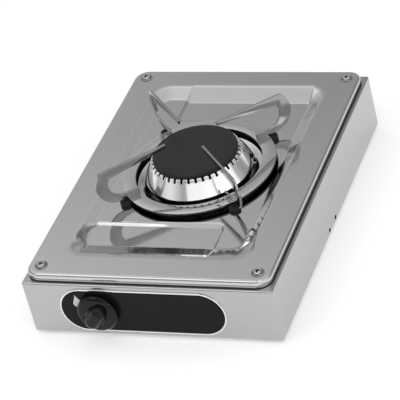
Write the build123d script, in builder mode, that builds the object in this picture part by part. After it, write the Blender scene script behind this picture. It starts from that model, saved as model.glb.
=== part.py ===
import math
import os

from build123d import *

# A one-burner gas stove in a folded steel housing.
# Sizes are in millimetres: X to the right, Y to the back, Z up from the table.

# Housing
HOUSING_W = 220.0
HOUSING_D = 300.0
HOUSING_H = 51.0
HOUSING_CORNER = 2.0
SHEET = 1.0
BEND = 1.6
TOP_LEDGE = 24.0
BOTTOM_LEDGE = 24.0
SIDE_HOLE_R = 2.0
SIDE_HOLE_PITCH = 18.0
SIDE_HOLE_UP = 4.0
SIDE_HOLE_Y = -1.0

# Rubber feet and their screws
FOOT_PROUD = 3.0
FOOT_R = 8.0
FOOT_EDGE = 0.75
FOOT_INSET = 14.0
FOOT_SCREW_R = 1.6
FOOT_HEAD_R = 3.4
FOOT_HEAD_UP = 0.8
FOOT_HEAD_H = 1.4

# Base plate, its air slots and screws
BASE_SHEET = 1.0
BASE_GAP = 4.0
BASE_SCREW_R = 1.6
BASE_HEAD_R = 3.2
BASE_HEAD_H = 1.8
BASE_SCREW_INSET = 12.0
BASE_SCREW_PITCH = 120.0
SCREW_TAIL = 4.8
SCREW_CLEARANCE = 0.2
THREAD_GAP = 0.2
AIR_SLOT_L = 70.0
AIR_SLOT_W = 4.0
AIR_SLOT_PITCH = 10.0
AIR_SLOT_COUNT = 5
AIR_SLOT_Y = 85.0

# Top plate: rim, well, pockets, dish and the opening round the burner
PLATE_SHEET = 1.0
PLATE_INSET = 3.0
PLATE_RISE = 7.5
PLATE_CORNER = 12.0
PLATE_EDGE = 2.8
RIM_W = 27.5
WELL_CORNER = 16.0
WELL_DEPTH = 3.5
WELL_SIDE_SLOPE = 9.5
WELL_END_SLOPE = 15.0
WELL_FLOOR_CORNER = 10.0
POCKET_D = 30.8
POCKET_CORNER = 9.0
POCKET_DEPTH = 2.2
POCKET_SLOPE = 2.2
POCKET_NEAR = 0.6
POCKET_FAR = 23.0
POCKET_OUTER = 0.6
DISH_W = 5.0
DISH_DEPTH = 1.6
OPENING_GAP = 4.0
LIP_H = 3.0

# Screws of the top plate, their cup washers and clip nuts
TOP_SCREW_INSET = 15.0
TOP_SCREW_R = 2.0
TOP_HEAD_R = 4.4
TOP_HEAD_H = 1.3
CROSS_L = 4.8
CROSS_W = 1.1
CROSS_DEPTH = 1.3
WASHER_R = 5.8
WASHER_H = 1.4
WASHER_SEAT = 0.35
CLIP_W = 11.0
CLIP_H = 3.0
CLIP_CORNER = 1.4

# Burner: bridge bracket, cup, crown and cap
BURNER_Y = 2.0
BRACKET_W = 70.0
BRACKET_SPAN = 104.0
BRACKET_FOOT = 14.0
BRACKET_H = 36.0
BRACKET_SHEET = 1.5
CUP_RISE = 6.0
CUP_NECK_R = 18.0
CUP_NECK_BORE = 14.5
CUP_NECK_H = 16.0
CUP_FLOOR = 4.0
CUP_SCREW_HOLE = 3.0
CUP_SCREW_COUNT = 3
CUP_SHOULDER_R = 30.0
CUP_SHOULDER = 2.2
CUP_RIM_R = 44.0
CUP_WALL = 2.5
CUP_CONE_H = 9.8
AIR_WINDOW_W = 10.0
AIR_WINDOW_H = 8.0
CROWN_WALL = 2.8
CROWN_TAPER = 8.4
CROWN_LAND = 6.1
CROWN_SKIRT = 2.5
CROWN_H = 13.0
CROWN_FLOOR = 2.5
CROWN_FLOOR_UP = 3.0
VENTURI_R = 9.5
VENTURI_WALL = 2.0
VENTURI_DROP = 14.0
PORT_COUNT = 40
PORT_W = 1.8
PORT_H = 3.0
CAP_STEP = 1.6
CAP_H = 3.8
CAP_EDGE = 1.5
CAP_SPIGOT_H = 2.5
CAP_SPIGOT_WALL = 2.4
CAP_CLEARANCE = 0.7

# Injector and the elbow under the burner cup
INJECTOR_HEX = 9.0
INJECTOR_HEX_H = 6.0
INJECTOR_STEM_R = 3.3
INJECTOR_STEM_L = 7.0
INJECTOR_JET_R = 0.6
INJECTOR_JET_L = 3.0
INJECTOR_ENTRY_R = 1.6
ELBOW_R = 8.0
ELBOW_H = 13.0
ELBOW_PORT_R = 5.5
ELBOW_PORT_L = 20.0
ELBOW_BORE = 2.5
ELBOW_SUMP = 1.0

# Pan support
RING_CLEAR = 2.0
RING_ROOM = 3.0
RING_W = 12.0
RING_T = 2.0
RING_EDGE = 0.5
PAN_FOOT_R = 5.0
PAN_FOOT_H = 3.4
PAN_FOOT_EDGE = 0.55
TAB_GAP = 0.4
TAB_W = 5.2
TAB_H = 2.6
TAB_FIT = 0.1
FINGER_T = 2.0
FINGER_FIRST = 43.0
FINGER_COUNT = 4
FINGER_H = 34.5
FINGER_BACK = 1.0
FINGER_TIP = 24.0
FINGER_TIP_D = 3.6
FINGER_ARM_H = 5.8
FINGER_HEEL = 6.0
FINGER_CORNER = 2.4
HOOK_R = 19.1
HOOK_LEAN = 24.0
LOOP_BACK = 5.5
LOOP_R = 13.2
LOOP_TURN = 29.5

# Control panel and knob
PANEL_W = 143.0
PANEL_H = 40.0
PANEL_T = 1.5
PANEL_EDGE = 0.5
PANEL_X = -7.0
TRIM_W = 1.4
TRIM_T = 1.0
KNOB_FROM_END = 33.5
KNOB_RAISE = 1.0
KNOB_R = 17.5
KNOB_BEVEL = 1.9
KNOB_WALL = 3.5
KNOB_RIM = 1.1
KNOB_SKIRT = 3.4
KNOB_CLEARANCE = 0.6
KNOB_GRIP_W = 13.0
KNOB_GRIP_BACK = 2.6
KNOB_GRIP_CORNER = 4.0
KNOB_GRIP_H = 8.0
KNOB_GRIP_TAPER = 5.0
KNOB_GRIP_EDGE = 2.0
KNOB_HUB_R = 8.5
KNOB_HUB_H = 3.0
KNOB_HUB_EDGE = 1.0
KNOB_LIT = 140.0
KNOB_END = 1.6
KNOB_FIT = 0.05

# Gas tap, measured back from the front wall
PUSH_TRAVEL = 3.0
SPINDLE_R = 3.0
SPINDLE_FIT = 0.05
SPINDLE_FLAT = 0.8
SPINDLE_END = 0.3
COLLAR_R = 5.0
COLLAR_T = 1.7
COLLAR_GAP = 0.3
SEAT_CLEARANCE = 0.7
SEAT_T = 1.0
SPRING_R = 5.2
SPRING_WIRE = 0.9
SPRING_L = 11.0
SPRING_TURNS = 5
STEM_R = 2.5
STEM_CLEARANCE = 0.4
TONGUE_T = 1.8
TONGUE_W = 4.6
TONGUE_L = 4.5
TONGUE_END = 1.5
TONGUE_FIT = 0.1
NECK_R = 6.0
NECK_PAST_NUT = 0.3
NECK_CLEARANCE = 0.7
NECK_END = 4.0
PANEL_NUT_HEX = 17.0
PANEL_NUT_T = 2.0
BONNET_R = 10.0
BONNET_BORE = 7.5
BONNET_FLANGE_T = 3.0
BONNET_SCREW_R = 1.4
BONNET_HEAD_R = 2.4
BONNET_HEAD_H = 1.6
BONNET_HEAD_GAP = 0.3
TAP_R = 11.0
TAP_FLANGE_T = 4.0
TAP_END = 8.0
PLUG_L = 28.0
PLUG_FRONT_R = 7.2
PLUG_REAR_R = 5.8
PLUG_FIT = 0.06
PLUG_BORE = 2.0
TAP_INLET_AT = 13.0
TAP_INLET_R = 6.5
TAP_INLET_L = 18.0
TAP_OUTLET_R = 5.5
TAP_OUTLET_L = 10.0
TAP_BORE = 2.5

# Pipes
INLET_PIPE_R = 4.0
INLET_PIPE_BORE = 3.0
INLET_INSET = 35.0
INLET_STUB = 16.5
INLET_BEAD_R = 5.0
INLET_BEAD_L = 1.5
INLET_BEND = 25.0
INLET_NUT_HEX = 14.0
INLET_NUT_L = 10.0
SUPPLY_R = 3.0
SUPPLY_BORE = 2.0
SUPPLY_RUN = 27.0
SUPPLY_BEND = 13.0
SUPPLY_NUT_HEX = 11.0
SUPPLY_NUT_L = 8.0
PIPE_FIT = 0.05
GROMMET_R = 7.0
GROMMET_LIP = 2.5
GROMMET_T = 1.5

# Levels up from the table
housing_z = FOOT_PROUD
ledge_z = housing_z + SHEET
base_z = ledge_z + BASE_SHEET
housing_top = housing_z + HOUSING_H
rim_z = housing_top + PLATE_RISE
floor_z = rim_z - WELL_DEPTH
ring_z = floor_z + PAN_FOOT_H
ring_top = ring_z + RING_T
finger_top = ring_top + FINGER_H
cup_top = floor_z + CUP_RISE
crown_top = cup_top + CROWN_H
bracket_top = base_z + BRACKET_H
cup_bottom = bracket_top - CUP_NECK_H
panel_z = housing_z + HOUSING_H / 2
tap_z = panel_z + KNOB_RAISE

# Radii out from the burner's axis
crown_base_r = CUP_RIM_R + SCREW_CLEARANCE + CROWN_WALL
crown_top_r = crown_base_r - CROWN_TAPER
chamber_r = crown_top_r - CROWN_LAND
cap_r = crown_top_r - CAP_STEP
spigot_r = chamber_r - CAP_CLEARANCE
opening_r = CUP_RIM_R + OPENING_GAP
dish_r = opening_r + DISH_W
ring_in = dish_r + RING_CLEAR
ring_out = ring_in + RING_W
tab_in = ring_out + TAB_GAP
tab_out = tab_in + TAB_W
pan_foot_at = (tab_in + tab_out) / 2

# Places along and across the housing
front_y = -HOUSING_D / 2
rear_y = HOUSING_D / 2
knob_x = PANEL_X - PANEL_W / 2 + KNOB_FROM_END
inlet_x = HOUSING_W / 2 - INLET_INSET
plate_w = HOUSING_W - 2 * PLATE_INSET
plate_d = HOUSING_D - 2 * PLATE_INSET
foot_grid = (HOUSING_W - 2 * FOOT_INSET, HOUSING_D - 2 * FOOT_INSET)
top_screw_grid = (HOUSING_W - 2 * TOP_SCREW_INSET, HOUSING_D - 2 * TOP_SCREW_INSET)
base_screw_grid = (HOUSING_W - 2 * BASE_SCREW_INSET, BASE_SCREW_PITCH)
bracket_screw_grid = (BRACKET_SPAN + BRACKET_FOOT, BRACKET_W / 2)
cup_screw_at = (CUP_NECK_R + CUP_SHOULDER_R) / 2

# Axes and section planes of the turned pieces
burner_axis = Axis((0, BURNER_Y, 0), (0, 0, 1))
burner_section = Plane((0, BURNER_Y, 0), x_dir=(1, 0, 0), z_dir=(0, -1, 0))
tap_axis = Axis((knob_x, 0, tap_z), (0, 1, 0))
tap_section = Plane((knob_x, 0, tap_z))
inlet_axis = Axis((inlet_x, 0, tap_z), (0, 1, 0))
inlet_section = Plane((inlet_x, 0, tap_z))

os.makedirs("parts", exist_ok=True)


def write(piece, name):
    piece.part.label = name
    export_step(piece.part, f"parts/{name}.step")


def turned(profile, section, axis, mode=Mode.ADD):
    # A closed outline of radius and height, turned about an axis
    with BuildSketch(section) as outline:
        with BuildLine():
            Polyline(*profile, close=True)
        make_face()
    revolve(outline.sketch, axis, mode=mode)


def level(z, y=0.0, x=0.0):
    return Plane((x, y, z))


def across(y):
    # A plane square to the Y axis, seen from the front: X to the right, Z up
    return Plane((0, y, 0), x_dir=(1, 0, 0), z_dir=(0, -1, 0))


# Housing: a folded box with a ledge turned in at the top and the bottom
with BuildPart() as housing:
    with BuildSketch(level(housing_z)):
        RectangleRounded(HOUSING_W, HOUSING_D, HOUSING_CORNER)
    extrude(amount=HOUSING_H)
    fillet(housing.edges().group_by(Axis.Z)[0], BEND)
    fillet(housing.edges().group_by(Axis.Z)[-1], BEND)
    with BuildSketch(level(housing_z + SHEET)):
        RectangleRounded(HOUSING_W - 2 * SHEET, HOUSING_D - 2 * SHEET, HOUSING_CORNER - SHEET)
    extrude(amount=HOUSING_H - 2 * SHEET, mode=Mode.SUBTRACT)
    with BuildSketch(level(housing_top)):
        Rectangle(HOUSING_W - 2 * TOP_LEDGE, HOUSING_D - 2 * TOP_LEDGE)
    extrude(amount=-SHEET, mode=Mode.SUBTRACT)
    with BuildSketch(level(housing_z)):
        Rectangle(HOUSING_W - 2 * BOTTOM_LEDGE, HOUSING_D - 2 * BOTTOM_LEDGE)
    extrude(amount=SHEET, mode=Mode.SUBTRACT)
    with BuildSketch(level(housing_top)):
        with GridLocations(*top_screw_grid, 2, 2):
            Circle(TOP_SCREW_R + SCREW_CLEARANCE)
    extrude(amount=-SHEET, mode=Mode.SUBTRACT)
    with BuildSketch(level(housing_z)):
        with GridLocations(*foot_grid, 2, 2):
            Circle(FOOT_SCREW_R + SCREW_CLEARANCE)
        with GridLocations(*base_screw_grid, 2, 2):
            Circle(BASE_SCREW_R + SCREW_CLEARANCE)
    extrude(amount=SHEET, mode=Mode.SUBTRACT)
    with BuildSketch(across(front_y)):
        with Locations((knob_x, tap_z)):
            Circle(NECK_R + SCREW_CLEARANCE)
    extrude(amount=-SHEET, mode=Mode.SUBTRACT)
    with BuildSketch(across(rear_y)):
        with Locations((inlet_x, tap_z)):
            Circle(GROMMET_R)
    extrude(amount=SHEET, mode=Mode.SUBTRACT)
    with BuildSketch(Plane.YZ):
        with Locations((SIDE_HOLE_Y, housing_z + SIDE_HOLE_UP)):
            with GridLocations(SIDE_HOLE_PITCH, 0, 2, 1):
                Circle(SIDE_HOLE_R)
    extrude(amount=HOUSING_W, both=True, mode=Mode.SUBTRACT)
write(housing, "housing")

# Base plate: lies on the bottom ledge, with slots that let air in
with BuildPart() as base_plate:
    with BuildSketch(level(ledge_z)):
        Rectangle(HOUSING_W - 2 * (SHEET + BASE_GAP), HOUSING_D - 2 * (SHEET + BASE_GAP))
        with GridLocations(*foot_grid, 2, 2):
            Circle(FOOT_SCREW_R + SCREW_CLEARANCE, mode=Mode.SUBTRACT)
        with GridLocations(*base_screw_grid, 2, 2):
            Circle(BASE_SCREW_R + SCREW_CLEARANCE, mode=Mode.SUBTRACT)
        with Locations((0, BURNER_Y)):
            with GridLocations(*bracket_screw_grid, 2, 2):
                Circle(BASE_SCREW_R + SCREW_CLEARANCE, mode=Mode.SUBTRACT)
        with Locations((0, AIR_SLOT_Y), (0, -AIR_SLOT_Y)):
            with GridLocations(0, AIR_SLOT_PITCH, 1, AIR_SLOT_COUNT):
                SlotOverall(AIR_SLOT_L, AIR_SLOT_W, mode=Mode.SUBTRACT)
    extrude(amount=BASE_SHEET)
write(base_plate, "base_plate")

# Base screws: driven up through the bottom ledge
with BuildPart() as base_screws:
    with BuildSketch(level(housing_z)):
        with GridLocations(*base_screw_grid, 2, 2):
            Circle(BASE_HEAD_R)
    extrude(amount=-BASE_HEAD_H)
    with BuildSketch(level(housing_z)):
        with GridLocations(*base_screw_grid, 2, 2):
            Circle(BASE_SCREW_R)
    extrude(amount=SHEET + BASE_SHEET + SCREW_TAIL)
write(base_screws, "base_screws")

# Rubber feet, each held by a screw sunk in its underside
foot_names = ("foot_front_left", "foot_rear_left", "foot_front_right", "foot_rear_right")
for foot_name, place in zip(foot_names, GridLocations(*foot_grid, 2, 2)):
    with BuildPart() as foot:
        with BuildSketch(level(0, place.position.Y, place.position.X)):
            Circle(FOOT_R)
        extrude(amount=FOOT_PROUD)
        fillet(foot.edges().group_by(Axis.Z)[0], FOOT_EDGE)
        with BuildSketch(level(0, place.position.Y, place.position.X)):
            Circle(FOOT_HEAD_R + SCREW_CLEARANCE)
        extrude(amount=FOOT_HEAD_UP + FOOT_HEAD_H, mode=Mode.SUBTRACT)
        with BuildSketch(level(0, place.position.Y, place.position.X)):
            Circle(FOOT_SCREW_R + SCREW_CLEARANCE)
        extrude(amount=FOOT_PROUD, mode=Mode.SUBTRACT)
    write(foot, foot_name)

with BuildPart() as foot_screws:
    with BuildSketch(level(FOOT_HEAD_UP)):
        with GridLocations(*foot_grid, 2, 2):
            Circle(FOOT_HEAD_R)
    extrude(amount=FOOT_HEAD_H)
    with BuildSketch(level(FOOT_HEAD_UP + FOOT_HEAD_H)):
        with GridLocations(*foot_grid, 2, 2):
            Circle(FOOT_SCREW_R)
    extrude(amount=base_z + SCREW_TAIL - FOOT_HEAD_UP - FOOT_HEAD_H)
write(foot_screws, "foot_screws")


def pressed(mouth, floor, place, top, depth, mode):
    # A sunk form with sloping walls, from a rounded mouth down to a smaller floor
    with BuildSketch(level(top, place[1], place[0])) as upper:
        RectangleRounded(*mouth)
    with BuildSketch(level(top - depth, place[1], place[0])) as lower:
        RectangleRounded(*floor)
    loft([upper.sketch.face(), lower.sketch.face()], mode=mode)


well_floor_w = 2 * (ring_out + RING_ROOM)
well_d = plate_d - 2 * RIM_W
well_mouth = (well_floor_w + 2 * WELL_SIDE_SLOPE, well_d, WELL_CORNER)
well_floor = (well_floor_w, well_d - 2 * WELL_END_SLOPE, WELL_FLOOR_CORNER)
pocket_mouth = (well_floor[0] - POCKET_NEAR - POCKET_FAR, POCKET_D, POCKET_CORNER)
pocket_fall = 2 * POCKET_SLOPE
pocket_floor = (pocket_mouth[0] - pocket_fall, POCKET_D - pocket_fall, POCKET_CORNER - POCKET_SLOPE)
pocket_shift = (POCKET_FAR - POCKET_NEAR) / 2
pocket_out = well_floor[1] / 2 - POCKET_OUTER - POCKET_D / 2
pockets = ((-pocket_shift, BURNER_Y - pocket_out), (pocket_shift, BURNER_Y + pocket_out))

# Top plate: one pressed sheet, so each sunk form is added a sheet lower and then hollowed
hung = (Align.CENTER, Align.CENTER, Align.MAX)
with BuildPart() as top_plate:
    with BuildSketch(level(housing_top)):
        RectangleRounded(plate_w, plate_d, PLATE_CORNER)
    extrude(amount=PLATE_RISE)
    fillet(top_plate.edges().group_by(Axis.Z)[-1], PLATE_EDGE)
    offset(amount=-PLATE_SHEET, openings=top_plate.faces().sort_by(Axis.Z)[0])
    pressed(well_mouth, well_floor, (0, BURNER_Y), rim_z - PLATE_SHEET, WELL_DEPTH, Mode.ADD)
    for pocket in pockets:
        pressed(pocket_mouth, pocket_floor, pocket, floor_z - PLATE_SHEET, POCKET_DEPTH, Mode.ADD)
    with BuildSketch(level(floor_z - DISH_DEPTH - LIP_H, BURNER_Y)):
        Circle(opening_r + PLATE_SHEET)
    extrude(amount=LIP_H)
    with Locations((0, BURNER_Y, floor_z - PLATE_SHEET)):
        Cone(opening_r, dish_r, DISH_DEPTH, align=hung)
    pressed(well_mouth, well_floor, (0, BURNER_Y), rim_z, WELL_DEPTH, Mode.SUBTRACT)
    for pocket in pockets:
        pressed(pocket_mouth, pocket_floor, pocket, floor_z, POCKET_DEPTH, Mode.SUBTRACT)
    with Locations((0, BURNER_Y, floor_z)):
        Cone(opening_r, dish_r, DISH_DEPTH, align=hung, mode=Mode.SUBTRACT)
    with BuildSketch(level(floor_z, BURNER_Y)):
        Circle(opening_r)
    extrude(amount=-(DISH_DEPTH + LIP_H), mode=Mode.SUBTRACT)
    with BuildSketch(level(rim_z)):
        with GridLocations(*top_screw_grid, 2, 2):
            Circle(TOP_SCREW_R + SCREW_CLEARANCE)
    extrude(amount=-PLATE_SHEET, mode=Mode.SUBTRACT)
write(top_plate, "top_plate")

# Cup washer and raised screw of the top plate, made once and set in the four corners
seat_r = TOP_SCREW_R + SCREW_CLEARANCE
washer_top = rim_z + WASHER_H
with BuildPart() as cup_washer:
    turned(
        [
            (seat_r, rim_z),
            (WASHER_R, rim_z),
            (TOP_HEAD_R + THREAD_GAP, washer_top),
            (seat_r, rim_z + WASHER_SEAT),
        ],
        Plane.XZ,
        Axis.Z,
    )
with BuildPart() as cup_washers:
    with GridLocations(*top_screw_grid, 2, 2):
        add(cup_washer.part)
write(cup_washers, "cup_washers")

clip_z = housing_top - SHEET - CLIP_H
dome_r = (TOP_HEAD_R**2 + TOP_HEAD_H**2) / (2 * TOP_HEAD_H)
with BuildPart() as top_screw:
    with BuildSketch(Plane.XZ):
        with BuildLine():
            Polyline(
                (0, washer_top + TOP_HEAD_H),
                (0, clip_z - TOP_SCREW_R),
                (TOP_SCREW_R, clip_z - TOP_SCREW_R),
                (TOP_SCREW_R, rim_z + WASHER_SEAT + SCREW_CLEARANCE),
                (TOP_HEAD_R, washer_top),
            )
            RadiusArc((TOP_HEAD_R, washer_top), (0, washer_top + TOP_HEAD_H), -dome_r)
        make_face()
    revolve(axis=Axis.Z)
    for turn in (0, 90):
        with BuildSketch(level(washer_top + TOP_HEAD_H)):
            Rectangle(CROSS_L, CROSS_W, rotation=turn)
        extrude(amount=-CROSS_DEPTH, mode=Mode.SUBTRACT)
with BuildPart() as top_screws:
    with GridLocations(*top_screw_grid, 2, 2):
        add(top_screw.part)
write(top_screws, "top_screws")

# Clip nuts under the ledge
with BuildPart() as clip_nuts:
    with BuildSketch(level(clip_z)):
        with GridLocations(*top_screw_grid, 2, 2):
            RectangleRounded(CLIP_W, CLIP_W, CLIP_CORNER)
            Circle(TOP_SCREW_R + THREAD_GAP, mode=Mode.SUBTRACT)
    extrude(amount=CLIP_H)
write(clip_nuts, "clip_nuts")

# Bridge bracket: a hat of folded sheet that carries the burner cup
half_span = BRACKET_SPAN / 2
with BuildPart() as burner_bracket:
    with BuildSketch(across(BURNER_Y)):
        with BuildLine():
            Polyline(
                (-half_span - BRACKET_FOOT, base_z),
                (-half_span + BRACKET_SHEET, base_z),
                (-half_span + BRACKET_SHEET, bracket_top - BRACKET_SHEET),
                (half_span - BRACKET_SHEET, bracket_top - BRACKET_SHEET),
                (half_span - BRACKET_SHEET, base_z),
                (half_span + BRACKET_FOOT, base_z),
                (half_span + BRACKET_FOOT, base_z + BRACKET_SHEET),
                (half_span, base_z + BRACKET_SHEET),
                (half_span, bracket_top),
                (-half_span, bracket_top),
                (-half_span, base_z + BRACKET_SHEET),
                (-half_span - BRACKET_FOOT, base_z + BRACKET_SHEET),
                close=True,
            )
        make_face()
    extrude(amount=BRACKET_W / 2, both=True)
    fillet(burner_bracket.edges().filter_by(Axis.Y).group_by(Axis.Z)[-1], BRACKET_SHEET)
    with BuildSketch(level(bracket_top, BURNER_Y)):
        Circle(CUP_NECK_R + SCREW_CLEARANCE)
        with PolarLocations(cup_screw_at, CUP_SCREW_COUNT):
            Circle(BASE_SCREW_R + SCREW_CLEARANCE)
    extrude(amount=-BRACKET_SHEET, mode=Mode.SUBTRACT)
    with BuildSketch(level(base_z, BURNER_Y)):
        with GridLocations(*bracket_screw_grid, 2, 2):
            Circle(BASE_SCREW_R + SCREW_CLEARANCE)
    extrude(amount=BRACKET_SHEET, mode=Mode.SUBTRACT)
write(burner_bracket, "burner_bracket")

with BuildPart() as bracket_screws:
    with BuildSketch(level(ledge_z, BURNER_Y)):
        with GridLocations(*bracket_screw_grid, 2, 2):
            Circle(BASE_HEAD_R)
    extrude(amount=-BASE_HEAD_H)
    with BuildSketch(level(ledge_z, BURNER_Y)):
        with GridLocations(*bracket_screw_grid, 2, 2):
            Circle(BASE_SCREW_R)
    extrude(amount=BASE_SHEET + BRACKET_SHEET + SCREW_TAIL)
write(bracket_screws, "bracket_screws")

# Burner cup: a cast bowl whose neck hangs through the bracket
cone_top = bracket_top + CUP_SHOULDER + CUP_CONE_H
stem_bore = INJECTOR_STEM_R + THREAD_GAP
with BuildPart() as burner_cup:
    turned(
        [
            (stem_bore, cup_bottom),
            (CUP_NECK_R, cup_bottom),
            (CUP_NECK_R, bracket_top),
            (CUP_SHOULDER_R, bracket_top),
            (CUP_SHOULDER_R, bracket_top + CUP_SHOULDER),
            (CUP_RIM_R, cone_top),
            (CUP_RIM_R, cup_top),
            (CUP_RIM_R - CUP_WALL, cup_top),
            (CUP_RIM_R - CUP_WALL, cone_top + CUP_WALL / 2),
            (CUP_SHOULDER_R - CUP_WALL, bracket_top + CUP_FLOOR),
            (CUP_NECK_BORE, bracket_top + CUP_FLOOR),
            (CUP_NECK_BORE, cup_bottom + CUP_FLOOR),
            (stem_bore, cup_bottom + CUP_FLOOR),
        ],
        burner_section,
        burner_axis,
    )
    with BuildSketch(level(cup_bottom + CUP_FLOOR, BURNER_Y)):
        Rectangle(2 * CUP_SHOULDER_R, AIR_WINDOW_W)
        Rectangle(AIR_WINDOW_W, 2 * CUP_SHOULDER_R)
    extrude(amount=AIR_WINDOW_H, mode=Mode.SUBTRACT)
    with BuildSketch(level(bracket_top, BURNER_Y)):
        with PolarLocations(cup_screw_at, CUP_SCREW_COUNT):
            Circle(BASE_SCREW_R + THREAD_GAP)
    extrude(amount=CUP_SCREW_HOLE, mode=Mode.SUBTRACT)
write(burner_cup, "burner_cup")

with BuildPart() as cup_screws:
    with BuildSketch(level(bracket_top - BRACKET_SHEET, BURNER_Y)):
        with PolarLocations(cup_screw_at, CUP_SCREW_COUNT):
            Circle(BASE_HEAD_R)
    extrude(amount=-BASE_HEAD_H)
    with BuildSketch(level(bracket_top - BRACKET_SHEET, BURNER_Y)):
        with PolarLocations(cup_screw_at, CUP_SCREW_COUNT):
            Circle(BASE_SCREW_R)
    extrude(amount=BRACKET_SHEET + CUP_SCREW_HOLE - THREAD_GAP)
write(cup_screws, "cup_screws")

# Burner crown: a polished cone with a mixing chamber, a venturi and a row of ports
chamber_z = cup_top + CROWN_FLOOR_UP + CROWN_FLOOR
venturi_z = cup_top + CROWN_FLOOR_UP - VENTURI_DROP
with BuildPart() as burner_crown:
    turned(
        [
            (crown_base_r, cup_top - CROWN_SKIRT),
            (crown_top_r, crown_top),
            (chamber_r, crown_top),
            (chamber_r, chamber_z),
            (VENTURI_R, chamber_z),
            (VENTURI_R, venturi_z),
            (VENTURI_R + VENTURI_WALL, venturi_z),
            (VENTURI_R + VENTURI_WALL, cup_top + CROWN_FLOOR_UP),
            (CUP_RIM_R - CUP_WALL, cup_top + CROWN_FLOOR_UP),
            (CUP_RIM_R - CUP_WALL, cup_top),
            (CUP_RIM_R + SCREW_CLEARANCE, cup_top),
            (CUP_RIM_R + SCREW_CLEARANCE, cup_top - CROWN_SKIRT),
        ],
        burner_section,
        burner_axis,
    )
    with BuildSketch(level(crown_top, BURNER_Y)):
        with PolarLocations((chamber_r + crown_base_r) / 2, PORT_COUNT):
            Rectangle(crown_base_r - chamber_r + PORT_W, PORT_W)
    extrude(amount=-PORT_H, mode=Mode.SUBTRACT)
write(burner_crown, "burner_crown")

# Burner cap: an enamelled disc, located by a spigot inside the crown
with BuildPart() as burner_cap:
    turned(
        [
            (0, crown_top + CAP_H),
            (cap_r, crown_top + CAP_H),
            (cap_r, crown_top),
            (spigot_r, crown_top),
            (spigot_r, crown_top - CAP_SPIGOT_H),
            (spigot_r - CAP_SPIGOT_WALL, crown_top - CAP_SPIGOT_H),
            (spigot_r - CAP_SPIGOT_WALL, crown_top),
            (0, crown_top),
        ],
        burner_section,
        burner_axis,
    )
    fillet(burner_cap.edges().group_by(Axis.Z)[-1], CAP_EDGE)
write(burner_cap, "burner_cap")

# Injector, screwed down through the cup's floor into the elbow
injector_z = cup_bottom + CUP_FLOOR
with BuildPart() as injector:
    with BuildSketch(level(injector_z, BURNER_Y)):
        RegularPolygon(INJECTOR_HEX / 2, 6, major_radius=False)
    extrude(amount=INJECTOR_HEX_H)
    with BuildSketch(level(injector_z, BURNER_Y)):
        Circle(INJECTOR_STEM_R)
    extrude(amount=-(CUP_FLOOR + INJECTOR_STEM_L))
    with Locations((0, BURNER_Y, injector_z + INJECTOR_HEX_H)):
        Hole(INJECTOR_JET_R)
    with BuildSketch(level(cup_bottom - INJECTOR_STEM_L, BURNER_Y)):
        Circle(INJECTOR_ENTRY_R)
    extrude(amount=INJECTOR_STEM_L + CUP_FLOOR + INJECTOR_HEX_H - INJECTOR_JET_L, mode=Mode.SUBTRACT)
write(injector, "injector")

elbow_z = cup_bottom - ELBOW_H / 2
elbow_y = BURNER_Y - ELBOW_PORT_L
with BuildPart() as injector_elbow:
    with BuildSketch(level(cup_bottom, BURNER_Y)):
        Circle(ELBOW_R)
    extrude(amount=-ELBOW_H)
    with BuildSketch(across(elbow_y)):
        with Locations((0, elbow_z)):
            Circle(ELBOW_PORT_R)
    extrude(amount=-ELBOW_PORT_L)
    with BuildSketch(level(cup_bottom, BURNER_Y)):
        Circle(stem_bore)
    extrude(amount=-(ELBOW_H / 2 + ELBOW_BORE + ELBOW_SUMP), mode=Mode.SUBTRACT)
    with BuildSketch(across(elbow_y)):
        with Locations((0, elbow_z)):
            Circle(ELBOW_BORE)
    extrude(amount=-ELBOW_PORT_L, mode=Mode.SUBTRACT)
write(injector_elbow, "injector_elbow")

# Pan support: a flat ring on rubber feet, with stamped fingers standing on it
with BuildPart() as pan_ring:
    with BuildSketch(level(ring_z, BURNER_Y)):
        Circle(ring_out)
        Circle(ring_in, mode=Mode.SUBTRACT)
    extrude(amount=RING_T)
    fillet(pan_ring.edges(), RING_EDGE)
write(pan_ring, "pan_ring")


def rounded(piece, plane, corner, radius):
    # Rounds the edge that stands on a plane at one corner of an outline
    standing = piece.edges().filter_by(Axis(Vector(0, 0, 0), plane.z_dir))
    fillet(standing.sort_by_distance(plane.from_local_coords(Vector(*corner)))[0], radius)


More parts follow.
